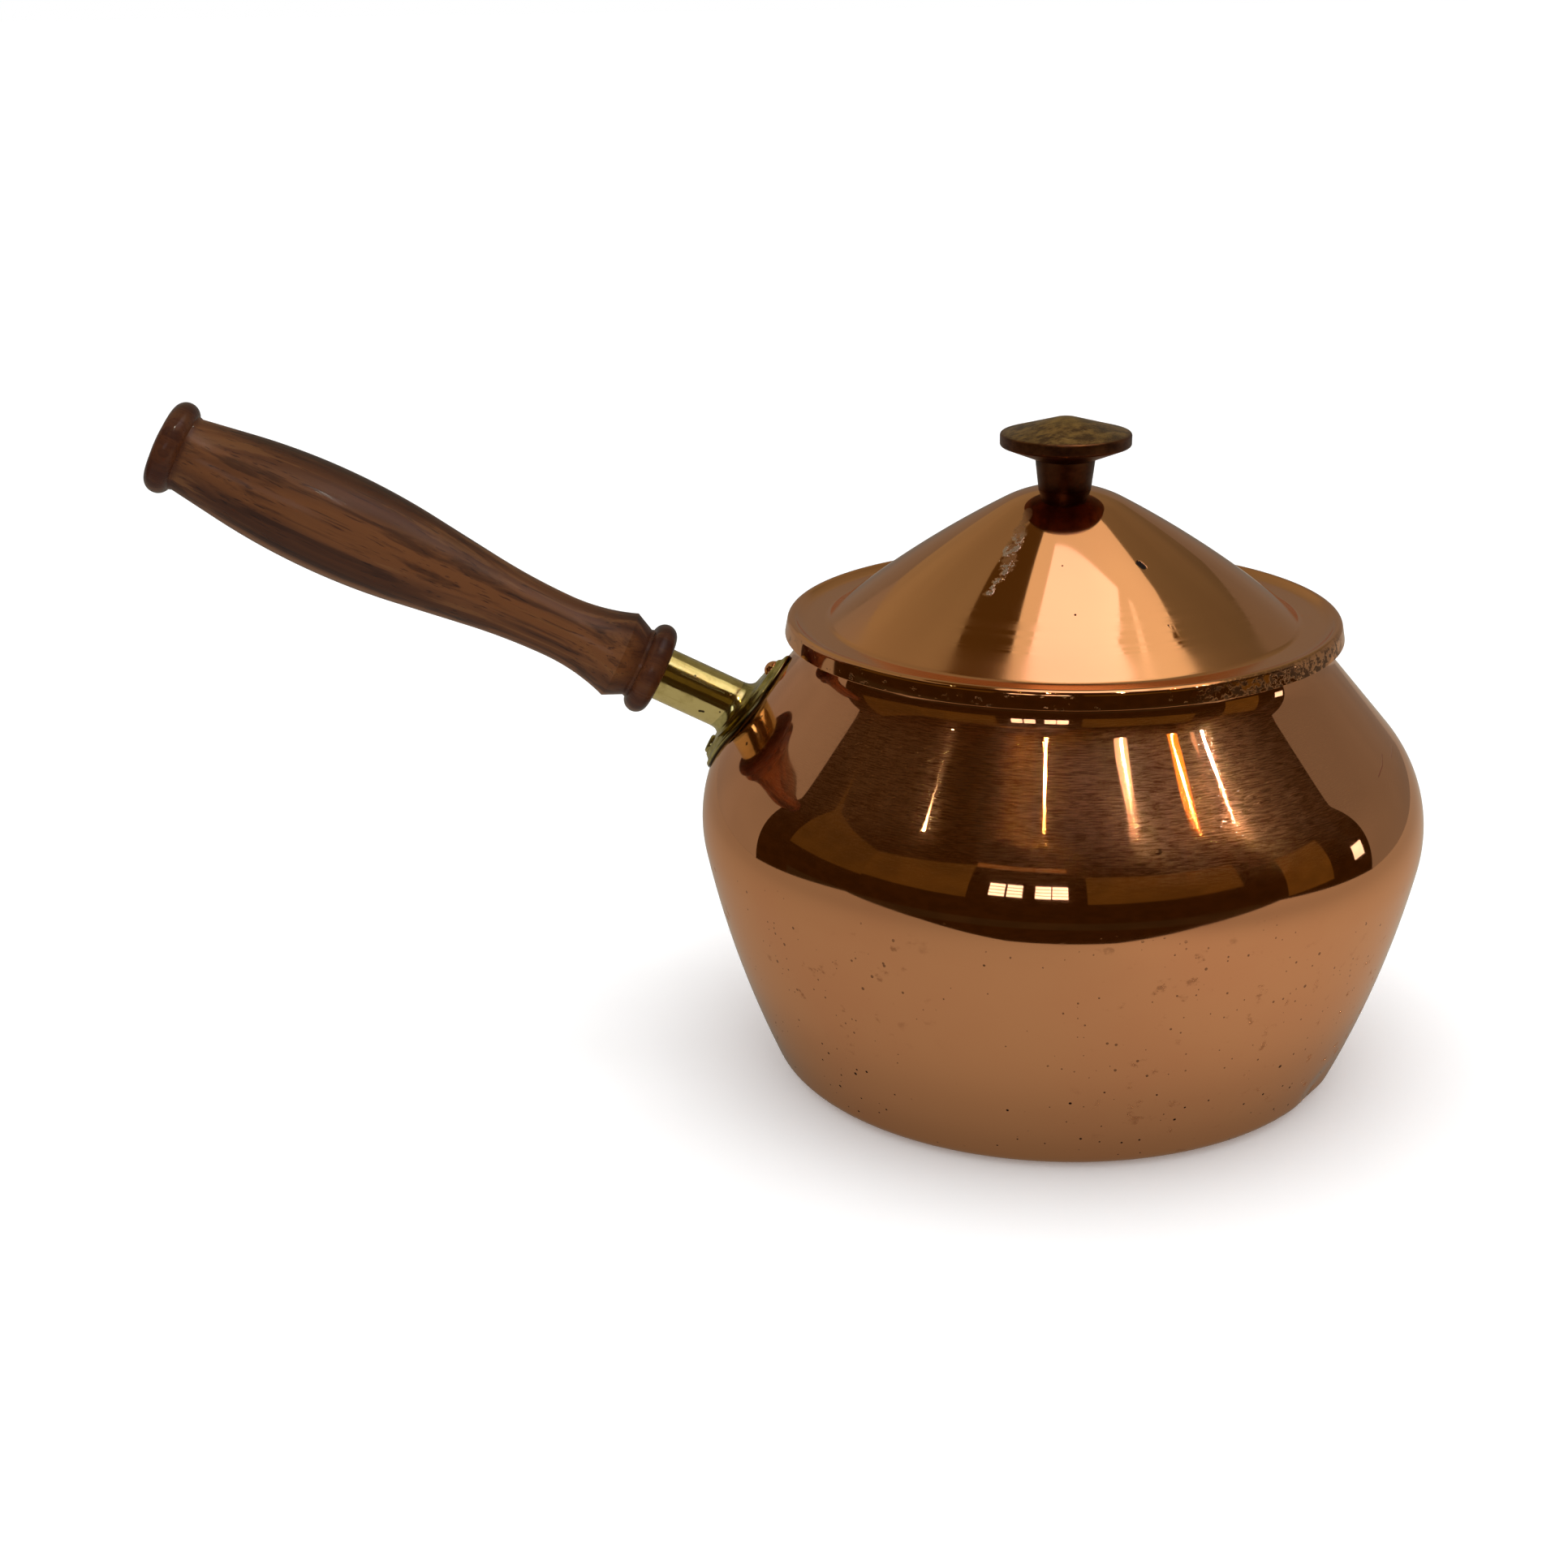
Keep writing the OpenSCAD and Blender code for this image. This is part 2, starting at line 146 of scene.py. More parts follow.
def lid_outline():
    """Top face, rolled lip, skirt, underside."""
    hem, flare, ramp_r, ramp_l, bend_r = 0.15, 0.6, 4.9, 4.1, 0.6
    outer, inner = LID_D / 2, LID_D / 2 - LID_T
    lip_x = LIP_C[0] - flare
    top = [(0, SEAT_Z)] + lid_line(0, lip_x - ramp_l)
    lip = arc((lip_x - ramp_l, FLANGE_Z + ramp_r), ramp_r, -90, -50, 16)[1:]
    lip += arc((lip_x, FLANGE_Z), LIP_R, 130, 10, 26)[1:]
    skirt = arc((outer - hem, SKIRT_Z + hem), hem, 10, -90, 7)
    skirt += arc((inner + hem, SKIRT_Z + hem), hem, -90, -180, 6)
    bend = arc((inner - bend_r, FLANGE_Z - LID_T - bend_r), bend_r, 0, 90, 5)[:-1]
    under = lid_line(LID_T, inner - bend_r)[::-1] + [(0, SEAT_Z - LID_T)]
    return top + lip + skirt + bend + under


def lid_lining_outline():
    near, edge = LID_T + TIN_GAP, BEAD_X - BEAD_R - 0.4
    far = near + TIN
    hole = 2.1
    line = ([(hole, SEAT_Z - near)] + lid_line(near, edge, 20)
            + lid_line(far, edge, 20)[::-1] + [(hole, SEAT_Z - far)])
    return line + [line[0]]


def knob_outline():
    """Stud, tapered stem, dished underside, rim with two soft corners, low conical top."""
    r, edge, under, low, high, base = KNOB_D / 2, 0.7, 7.8, 11.3, 14.8, SEAT_Z + HAIR_GAP
    stud_r, stud_l, tip_r, tip_h, facet = 2, 5.4, 2.6, 0.3, 4.4
    stud = [(0, -stud_l), (stud_r, -stud_l), (stud_r, 0)]
    stem = [(STEM_D / 2, 0), (STEM_D / 2 + 0.1, 0.4), (NECK_D / 2, under)]
    rim = arc((r - edge, low + edge), edge, -70, 0, 7) + arc((r - edge, high - edge), edge, 0, 76, 7)
    slope = (KNOB_H - tip_h - high) / (r - edge - tip_r)
    top = [(r - edge - facet * i, high + slope * facet * i) for i in range(1, 4)]
    tip = [(tip_r, KNOB_H - tip_h), (1.5, KNOB_H - 0.12), (0.6, KNOB_H), (0, KNOB_H)]
    return [(x, z + base) for x, z in stud + stem + rim + top + tip]


def grip_outline():
    """Inner bead, groove, ridge, waist, swell, outer bead and domed end, along the grip's axis."""
    ring_r, knot_r, cap_r, groove_r, taper, out_taper = 3.25, 3.5, 40, 10, 7.4, 8.8
    ring_c = (END_D / 2 - ring_r, TUBE_SHOW + ring_r)
    ridge = (12.25, TUBE_SHOW + 12.4)
    waist = (WAIST_D / 2, TUBE_SHOW + 31.3)
    swell = (SWELL_D / 2, TUBE_SHOW + 97.4)
    knot_c = (END_D / 2 - knot_r, GRIP_END - 4.5)
    seam = (10.2, GRIP_END - 8.8)
    slope = (waist[0] + 1.46, waist[1] + 22.5)
    full = (slope[0] + (swell[1] - 25.6 - slope[1]) * tan(radians(taper)), swell[1] - 25.6)
    out_u = swell[1] + 27.4
    out = (seam[0] + (seam[1] - out_u) * tan(radians(out_taper)), out_u)
    return ([(0, TUBE_SHOW), (TUBE_D / 2, TUBE_SHOW)]
            + arc(ring_c, ring_r, -90, degrees(acos((groove_r - ring_c[0]) / ring_r)), 28)
            + [(groove_r - 0.25, TUBE_SHOW + 7.3)]
            + bow(waist, ridge, 28)[::-1]
            + bow(waist, slope, 20)[1:]
            + bow(swell, full, 24)[::-1]
            + bow(swell, out, 24)[1:]
            + [seam]
            + arc(knot_c, knot_r, -degrees(acos((seam[0] - knot_c[0]) / knot_r)), 90, 28)[1:]
            + arc((0, GRIP_END - cap_r), cap_r, 78, 90, 12))


def tube_outline():
    r, foot, top = TUBE_D / 2, -2, TUBE_SHOW + 1.4
    rows = 30
    side = [(r, foot + (top - foot) * i / rows) for i in range(rows + 1)]
    bore = [(r - TUBE_T, foot + (top - foot) * i / 4) for i in range(5)]
    return side + bore[::-1] + [side[0]]


# ---- meshes ----

def lathe(name, outline, turns, place=None, sharp=32):
    """Mesh turned about Z from an outline in millimetres.

    The outline's ends lie on the axis, or are the same point. Its faces look outwards, whichever way
    the outline runs.
    """
    rings, points, faces = [], [], []
    if sum(p[0] * q[1] - q[0] * p[1] for p, q in zip(outline, outline[1:] + outline[:1])) < 0:
        outline = outline[::-1]
    for r, z in outline:
        if r < 1e-6:
            rings.append([len(points)])
            points.append((0, 0, z * MM))
            continue
        rings.append(range(len(points), len(points) + turns))
        for i in range(turns):
            a = 2 * pi * i / turns
            points.append((r * MM * cos(a), r * MM * sin(a), z * MM))
    if outline[0] == outline[-1]:
        del points[-turns:]
        rings[-1] = rings[0]
    for low, high in zip(rings, rings[1:]):
        for i in range(turns):
            j = (i + 1) % turns
            if len(low) == 1:
                faces.append((low[0], high[j], high[i]))
            elif len(high) == 1:
                faces.append((low[i], low[j], high[0]))
            else:
                faces.append((low[i], low[j], high[j], high[i]))
    mesh = bpy.data.meshes.new(name)
    mesh.from_pydata(points, [], faces)
    if place is not None:
        mesh.transform(place)
    return shown(name, mesh, sharp)


def shown(name, mesh, sharp=32):
    mesh.validate()
    mesh.shade_smooth()
    mesh.set_sharp_from_angle(angle=radians(sharp))
    piece = bpy.data.objects.new(name, mesh)
    bpy.context.scene.collection.objects.link(piece)
    return piece


def weld(made):
    """Joins the points that lie together and drops the faces that this empties."""
    bmesh.ops.remove_doubles(made, verts=made.verts, dist=0.002 * MM)
    bmesh.ops.dissolve_degenerate(made, edges=made.edges, dist=0.001 * MM)


def on_round(turn, r, z):
    """Point in metres at a turn to the right of the front, a radius and a height in millimetres."""
    t = radians(turn)
    return Vector((r * sin(t), -r * cos(t), z)) * MM


def dent(piece, centre, radius, depth):
    """Pushes the skin near a point in towards the axis."""
    for v in piece.data.vertices:
        near = 1 - (v.co - centre).length / radius
        if near > 0:
            inward = Vector((-v.co.x, -v.co.y, 0)).normalized()
            v.co += inward * depth * near * near * (3 - 2 * near)


DENT_AT = on_round(60, 76.5, 8.5)


# ---- bracket: meshes that lie on the pan's round shoulder, on the -X side ----

FOOT = Vector((-BRACKET_P[0], 0, BRACKET_P[1]))
UP_SHOULDER = Vector((sin(radians(SHOULDER_LEAN)), 0, cos(radians(SHOULDER_LEAN))))
OUT_SHOULDER = Vector((-cos(radians(SHOULDER_LEAN)), 0, sin(radians(SHOULDER_LEAN))))
GRIP_AXIS = AT_GRIP.to_3x3() @ Vector((0, 0, 1))


def off_pan(point):
    """Distance of a point from the outer face of the pan's belly and shoulder."""
    r, z = hypot(point.x, point.y), point.z
    if lean((r, z), BELLY_C) < SHOULDER_LEAN:
        return hypot(r - BELLY_C[0], z - BELLY_C[1]) - BELLY_R
    a = radians(SHOULDER_LEAN)
    return (r - SHOULDER_P[0]) * cos(a) + (z - SHOULDER_P[1]) * sin(a)


def slide(point, direction, distance):
    """Moves a point along a direction until it is a distance off the pan."""
    for _ in range(14):
        point = point + direction * (distance - off_pan(point))
    return point


def leaf_sizes():
    big = (LEAF_L ** 2 + LEAF_W ** 2) / (2 * LEAF_W)
    reach = big - TAIL_R
    tail_x = -(reach ** 2 - (big - LEAF_W) ** 2) ** 0.5
    return big, tail_x, tail_x * (1 + TAIL_R / reach)


def leaf_half(x):
    """Half of the plate's width at a station."""
    big, tail_x, joint = leaf_sizes()
    if x > joint:
        return max(0, (big ** 2 - x ** 2) ** 0.5 - (big - LEAF_W))
    return max(0, TAIL_R ** 2 - (x - tail_x) ** 2) ** 0.5


def leaf_depth(x, y):
    """Distance inside the plate's outline."""
    big, tail_x, _ = leaf_sizes()
    if x < tail_x and (tail_x - x) * (big - LEAF_W) > abs(y) * -tail_x:
        return TAIL_R - hypot(x - tail_x, y)
    return big - hypot(x, abs(y) + big - LEAF_W)


def smooth(value, low, high):
    t = min(1, max(0, (value - low) / (high - low)))
    return t * t * (3 - 2 * t)


def plate_height(x, y):
    """Rounded edge, flat border, raised middle."""
    depth, edge = max(0, leaf_depth(x, y)), 0.8
    rim = PLATE_T * (1 - (1 - min(depth / edge, 1)) ** 2) ** 0.5
    return rim + (PAD_T - PLATE_T) * smooth(depth, 1.5, 2.6)


def plate():
    rows, columns = 96, 40
    _, tail_x, _ = leaf_sizes()
    low, high = tail_x - TAIL_R, LEAF_L
    made = bmesh.new()
    sides = []
    for top in (True, False):
        grid = []
        for i in range(rows + 1):
            x = (low + high) / 2 - (high - low) / 2 * cos(pi * i / rows)
            line = []
            for j in range(columns + 1):
                y = leaf_half(x) * sin(pi / 2 * (2 * j / columns - 1))
                start = FOOT + UP_SHOULDER * x + Vector((0, y, 0))
                height = SKIN_GAP + (plate_height(x, y) if top else 0)
                line.append(made.verts.new(slide(start, OUT_SHOULDER, height) * MM))
            grid.append(line)
        sides.append(grid)
    for grid, order in zip(sides, (1, -1)):
        for i in range(rows):
            for j in range(columns):
                face = (grid[i][j], grid[i + 1][j], grid[i + 1][j + 1], grid[i][j + 1])
                made.faces.new(face[::order])
    weld(made)
    bmesh.ops.recalc_face_normals(made, faces=made.faces)
    mesh = bpy.data.meshes.new("plate")
    made.to_mesh(mesh)
    made.free()
    # Grime with painted shade: 1 on the underside and on the edge close to the pan, 0 on the raised
    # top. Where it is 1, the brass paint turns near black.
    grime_and_shade = mesh.attributes.new("grime_and_shade", "FLOAT", "POINT")
    for v, level in zip(mesh.vertices, grime_and_shade.data):
        level.value = 1 - smooth(off_pan(v.co / MM), 0.25, 0.75)
    return shown("plate", mesh, 40)


def fillet():
    """Cove of braze between tube and plate, a closed ring."""
    turns, rows, rise, spread = 120, 10, 3.1, 2.7
    r, top = TUBE_D / 2 + HAIR_GAP, SKIN_GAP + PAD_T + HAIR_GAP
    turned = AT_GRIP.to_3x3()
    points, faces = [], []
    for i in range(turns):
        a = 2 * pi * i / turns
        out = turned @ Vector((cos(a), sin(a), 0))
        base = slide(FOOT + out * r, GRIP_AXIS, top)
        tip = base + GRIP_AXIS * rise
        toe = slide(base + out * spread, GRIP_AXIS, top)
        for k in range(rows + 1):
            t = k / rows
            points.append((tip * (1 - t) ** 2 + base * (2 * t * (1 - t)) + toe * t ** 2) * MM)
        points.append(base * MM)
    ring = rows + 2
    for i in range(turns):
        j = (i + 1) % turns
        for k in range(ring):
            m = (k + 1) % ring
            faces.append((i * ring + m, j * ring + m, j * ring + k, i * ring + k))
    mesh = bpy.data.meshes.new("fillet")
    mesh.from_pydata(points, [], faces)
    return shown("fillet", mesh, 40)


def stand_on_plate(piece):
    """Draws the tube's foot back along its axis until it stands on the plate."""
    for v in piece.data.vertices:
        point = v.co / MM
        if off_pan(point) < SKIN_GAP + PAD_T:
            v.co = slide(point, GRIP_AXIS, SKIN_GAP + PAD_T) * MM
    made = bmesh.new()
    made.from_mesh(piece.data)
    weld(made)
    made.to_mesh(piece.data)
    made.free()


def rivet_place(centre, angle):
    """Z along the wall's normal at a rivet."""
    return (Matrix.Translation(Vector((-centre[0], 0, centre[1])) * MM)
            @ Matrix.Rotation(radians(angle - 90), 4, "Y"))


def rivet_outline(head_r, head_h, hollow):
    """Inner head, shank, and an outer dome or an eyelet with a hollow centre."""
    inner, outer = WALL + TIN_GAP + TIN + HAIR_GAP, SKIN_GAP + PAD_T + HAIR_GAP
    shank = SHANK_D / 2
    line = [(0, -inner - 0.9), (2.4, -inner - 0.9), (2.85, -inner - 0.7), (3, -inner - 0.4),
            (3, -inner), (shank, -inner), (shank, outer - 0.1)]
    if not hollow:
        big = (head_r ** 2 + head_h ** 2) / (2 * head_h)
        edge = degrees(acos(head_r / big))
        return line + [(head_r, outer - 0.1)] + arc((0, outer + head_h - big), big, edge, 90, 16)
    hole = 1.1
    ring, half = (head_r + hole) / 2, (head_r - hole) / 2
    line += [(head_r, outer - 0.1)]
    line += [(ring + half * cos(pi * k / 18), outer + head_h * sin(pi * k / 18)) for k in range(19)]
    return line + [(hole, outer - 0.3), (0.7, outer - 0.5), (0, outer - 0.6)]


def piece_for(piece, body, slot, paint, *nodes):
    """Paints a piece, lets it ride on its body and stand for its CAD nodes."""
    piece.data.materials.append(paint)
    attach(piece, body)
    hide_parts(*nodes)
    return piece


def on_tube(around, up):
    """Point on the tube's face, from its angle and its height above the foot."""
    r, a = TUBE_D / 2 * MM, radians(around)
    return AT_GRIP @ Vector((r * cos(a), r * sin(a), up * MM))


# ---- shader helpers ----

def add(tree, kind, inputs=None, **settings):
    """New node. Each input is a number, a colour or another node's output."""
    new = tree.nodes.new("ShaderNode" + kind)
    for key, value in settings.items():
        setattr(new, key, value)
    for key, value in (inputs or {}).items():
        socket = new.inputs[key]
        if isinstance(value, bpy.types.NodeSocket):
            tree.links.new(value, socket)
        else:
            socket.default_value = value
    return new


def calc(tree, operation, a, b=0.0, c=0.0):
    return add(tree, "Math", {0: a, 1: b, 2: c}, operation=operation).outputs[0]


def ramp(tree, value, low, high, to_low=0.0, to_high=1.0):
    """Smooth step of a value between two limits."""
    made = add(tree, "MapRange", {"Value": value, "From Min": low, "From Max": high,
                                  "To Min": to_low, "To Max": to_high},
               interpolation_type="SMOOTHSTEP")
    return made.outputs["Result"]


def blend(tree, factor, a, b, mode="MIX"):
    """Mix of two colours."""
    made = add(tree, "Mix", {0: factor, 6: a, 7: b}, data_type="RGBA", blend_type=mode)
    return made.outputs[2]


def rgb(r, g, b):
    return r, g, b, 1.0


def position(tree):
    return add(tree, "TexCoord").outputs["Object"]


def stretched(tree, scale, turn=(0, 0, 0)):
    """The object's own coordinates, turned back and then scaled by axis."""
    made = add(tree, "Mapping", {"Vector": position(tree), "Rotation": turn,
                                 "Scale": tuple(1 / s for s in scale)}, vector_type="TEXTURE")
    return made.outputs[0]


def noise(tree, scale, detail=3.0, rough=0.5, turn=(0, 0, 0), distortion=0.0):
    return add(tree, "TexNoise", {"Vector": stretched(tree, scale, turn), "Scale": 1.0,
                                  "Detail": detail, "Roughness": rough,
                                  "Distortion": distortion}).outputs["Fac"]


def new_paint(name, **constants):
    """Material with one Principled shader. Constants go straight on its sockets."""
    paint = bpy.data.materials.new(name)
    paint.use_nodes = True
    tree = paint.node_tree
    tree.nodes.clear()
    out = add(tree, "OutputMaterial")
    shader = add(tree, "BsdfPrincipled")
    tree.links.new(shader.outputs[0], out.inputs["Surface"])
    for key, value in constants.items():
        shader.inputs[key.replace("_", " ")].default_value = value
    return paint, tree, shader


def finish_paint(tree, shader, colour, roughness, height=None, depth=0.0001):
    tree.links.new(colour, shader.inputs["Base Color"])
    tree.links.new(roughness, shader.inputs["Roughness"])
    if height is not None:
        bump = add(tree, "Bump", {"Height": height, "Distance": depth, "Strength": 1.0})
        tree.links.new(bump.outputs[0], shader.inputs["Normal"])


def height_of(tree):
    """Height above the floor at rest, in millimetres, from the object's own coordinates."""
    return calc(tree, "MULTIPLY", add(tree, "SeparateXYZ", {0: position(tree)}).outputs["Z"], 1000)


def turn_of(tree):
    """Turn to the right of the front, in degrees."""
    axes = add(tree, "SeparateXYZ", {0: position(tree)}).outputs
    back = calc(tree, "MULTIPLY", axes["Y"], -1)
    return calc(tree, "MULTIPLY", calc(tree, "ARCTAN2", axes["X"], back), 180 / pi)


def out_of(tree):
    """Distance from the axis, in millimetres."""
    axes = add(tree, "SeparateXYZ", {0: position(tree)}).outputs
    flat = add(tree, "CombineXYZ", {"X": axes["X"], "Y": axes["Y"]}).outputs[0]
    away = add(tree, "VectorMath", {0: flat}, operation="LENGTH").outputs["Value"]
    return calc(tree, "MULTIPLY", away, 1000)


def product(tree, *values):
    made = values[0]
    for value in values[1:]:
        made = calc(tree, "MULTIPLY", made, value)
    return made


def most(tree, *values):
    made = values[0]
    for value in values[1:]:
        made = calc(tree, "MAXIMUM", made, value)
    return made


def pits(tree, cell, size, share):
    """Small spots in a share of a Voronoi pattern's cells: 1 inside a spot. Sizes in millimetres."""
    cells = add(tree, "TexVoronoi", {"Vector": position(tree), "Scale": 1 / (cell * MM),
                                     "Randomness": 1.0})
    pick = add(tree, "SeparateColor", {0: cells.outputs["Color"]}).outputs
    radius = calc(tree, "MULTIPLY", calc(tree, "MULTIPLY_ADD", pick[1], 0.8, 0.35), size / cell)
    spot = ramp(tree, calc(tree, "SUBTRACT", radius, cells.outputs["Distance"]), 0.0, 0.03)
    return calc(tree, "MULTIPLY", spot, calc(tree, "LESS_THAN", pick[0], share))


def mark(tree, places, width, ragged=0.0, grain=900):
    """Mask of a spot at one place, or of a stroke through several. Width in millimetres."""
    where, made = position(tree), None
    for p, q in zip(places, places[1:] or places):
        rel = add(tree, "VectorMath", {0: where, 1: p}, operation="SUBTRACT").outputs["Vector"]
        if q != p:
            d = q - p
            part = add(tree, "VectorMath", {0: rel, 1: d / d.length_squared}, operation="DOT_PRODUCT")
            part = add(tree, "Clamp", {0: part.outputs["Value"]}).outputs[0]
            reach = add(tree, "VectorMath", {0: d, "Scale": part}, operation="SCALE").outputs["Vector"]
            rel = add(tree, "VectorMath", {0: rel, 1: reach}, operation="SUBTRACT").outputs["Vector"]
        away = add(tree, "VectorMath", {0: rel}, operation="LENGTH").outputs["Value"]
        made = away if made is None else calc(tree, "MINIMUM", made, away)
    if ragged:
        torn = noise(tree, (grain, grain, grain), 4.0, 0.6)
        made = calc(tree, "MULTIPLY_ADD", calc(tree, "SUBTRACT", torn, 0.5), ragged * MM, made)
    return ramp(tree, made, width * MM / 2, width * MM / 2 * 0.6)


def spun(tree, shader, axis):
    """Lays the polishing scratches round an axis, which leans a little off the pan's own."""
    normal = add(tree, "NewGeometry").outputs["Normal"]
    tangent = add(tree, "VectorMath", {0: axis, 1: normal}, operation="CROSS_PRODUCT").outputs["Vector"]
    tangent = add(tree, "VectorMath", {0: tangent}, operation="NORMALIZE").outputs["Vector"]
    tree.links.new(tangent, shader.inputs["Tangent"])


def share_of(tree, share):
    """1 at a random share of the points of the skin, 0 at the others."""
    speck = add(tree, "TexWhiteNoise", {"Vector": position(tree)}).outputs["Value"]
    return calc(tree, "LESS_THAN", speck, share)


def hairlines(tree, turn, fine, long, keep):
    """Thin straight scratches along one direction: 1 on a scratch."""
    lines = noise(tree, (fine, fine, long), 2.0, 0.5, turn)
    return ramp(tree, lines, keep, keep + 0.05)


# ---- materials ----

COPPER = rgb(0.93, 0.42, 0.20)
COPPER_RED = rgb(0.88, 0.35, 0.17)
PIT = rgb(0.05, 0.015, 0.01)
EDGE_TINT = rgb(1.0, 0.9, 0.82)
TARNISH = rgb(0.12, 0.05, 0.02)
SCUFF = rgb(0.46, 0.38, 0.33)
POLISH_AXIS = (-0.18, -0.33, 1.0)

# Where a finish sets in, as (none here, full there). Heights and radii are in millimetres,
# the turns of FRONT and CRUST in degrees.
SHOULDER_FROM, SHOULDER_TO = (80, 97), (119, 115)
FRONT = (62, 34)
SIDE_TOP = (76, 64)
CONE_FROM, CONE_TO = (128, 131), (142, 134)
LID_EDGE = (72.6, 73.2)
CRUST_FROM, CRUST_TO = (20, 34), (82, 66)
FLANGE_TOP, FLANGE_RIM = (131, 127.6), (72.4, 70.5)


def pan_copper():
    """Polished copper: fine spun scratches on the shoulder, pits and stains on the side."""
    paint, tree, shader = new_paint("pan_copper_paint", Metallic=1.0, Anisotropic=0.95,
                                    Anisotropic_Rotation=0.25, Specular_Tint=EDGE_TINT)
    spun(tree, shader, POLISH_AXIS)
    z = height_of(tree)
    shoulder = product(tree, ramp(tree, z, *SHOULDER_FROM), ramp(tree, z, *SHOULDER_TO))
    middle = ramp(tree, calc(tree, "ABSOLUTE", turn_of(tree)), *FRONT)
    side = ramp(tree, z, *SIDE_TOP)
    haze = noise(tree, (14, 14, 14), 4.0, 0.6)
    patches = noise(tree, (26, 26, 26), 2.0, 0.5)

    fine = noise(tree, (300, 300, 5000), 2.0, 0.5)
    brushed = share_of(tree, product(tree, shoulder, ramp(tree, patches, 0.3, 0.62, 0.16, 0.26),
                                     ramp(tree, fine, 0.35, 0.65, 0.5, 1.5),
                                     calc(tree, "MULTIPLY_ADD", middle, 0.9, 0.1)))
    buffed = most(tree, hairlines(tree, (0.9, 0.2, 0.3), 2600, 130, 0.67),
                  hairlines(tree, (1.2, 0.5, 1.4), 2300, 150, 0.68),
                  hairlines(tree, (1.45, 0.1, 2.4), 2500, 120, 0.68))
    buffed = product(tree, buffed, shoulder, middle, ramp(tree, patches, 0.42, 0.6))

    crowd = ramp(tree, noise(tree, (28, 28, 34), 2.0), 0.42, 0.66, 0.2, 1.0)
    dots = most(tree, pits(tree, 2.6, 0.44, product(tree, crowd, 0.34)),
                pits(tree, 1.7, 0.30, product(tree, crowd, 0.24)), pits(tree, 11, 0.66, 0.36))
    low_band = ramp(tree, z, 22, 34, 1.0, 0.6)
    dots = product(tree, dots, side, low_band)
    stains = product(tree, ramp(tree, noise(tree, (190, 190, 240), 3.0, 0.6), 0.60, 0.72),
                     ramp(tree, noise(tree, (16, 16, 16), 1.0), 0.46, 0.6), side)

    ring = product(tree, mark(tree, [on_round(13.8, 91.1, 91.4)], 2.2, 0.4),
                   calc(tree, "SUBTRACT", 1.0, mark(tree, [on_round(13.6, 91.0, 91.6)], 1.5, 0.3)))
    spots = most(tree, mark(tree, [on_round(-11.3, 97.6, 64.2)], 0.8, 0.3),
                 mark(tree, [on_round(35.8, 97.5, 61.6), on_round(34.9, 97.5, 60.2)], 0.9, 0.6), ring)
    scratch = most(tree, mark(tree, [on_round(-12.2, 88.4, 36), on_round(-12.3, 86.0, 28)], 0.35, 0.2),
                   mark(tree, [on_round(64, 89.0, 94.0), on_round(68, 88.2, 95.0),
                               on_round(71, 87.0, 96.4)], 0.45, 0.25),
                   mark(tree, [on_round(74, 88.8, 94.3), on_round(79, 88.2, 95.0)], 0.4, 0.25))
    over, below = Vector((0, 0, 2.5)) * MM, Vector((0, 0, 3.5)) * MM
    scuff = mark(tree, [DENT_AT + over, DENT_AT - below], 5.2, 6.0, 700)
    bare = product(tree, scuff, ramp(tree, noise(tree, (500, 500, 500), 3.0), 0.42, 0.56))

    colour = blend(tree, ramp(tree, haze, 0.4, 0.75, 0.0, 0.5), COPPER, COPPER_RED)
    colour = blend(tree, calc(tree, "MULTIPLY", stains, 0.4), colour, rgb(0.62, 0.24, 0.11))
    colour = blend(tree, product(tree, scratch, 0.75), colour, rgb(0.55, 0.12, 0.06))
    colour = blend(tree, product(tree, spots, 0.85), colour, TARNISH)
    colour = blend(tree, product(tree, bare, 0.85), colour, SCUFF)
    colour = blend(tree, dots, colour, PIT)
    rough = calc(tree, "MULTIPLY_ADD", brushed, 0.30, 0.03)
    rough = calc(tree, "MULTIPLY_ADD", ramp(tree, haze, 0.35, 0.8), 0.02, rough)
    rough = calc(tree, "MULTIPLY_ADD", ramp(tree, z, 55, 25), 0.06, rough)
    rough = calc(tree, "MULTIPLY_ADD", most(tree, dots, scuff, stains, buffed), 0.3, rough)
    relief = calc(tree, "MULTIPLY", buffed, -0.002)
    relief = calc(tree, "MULTIPLY_ADD", dots, -0.05, relief)
    relief = calc(tree, "MULTIPLY_ADD", scratch, -0.03, relief)
    relief = calc(tree, "MULTIPLY_ADD", product(tree, scuff, fine), 0.05, relief)
    relief = calc(tree, "MULTIPLY_ADD", noise(tree, (24, 24, 30), 1.0), 0.09, relief)
    finish_paint(tree, shader, colour, rough, relief, MM)
    return paint


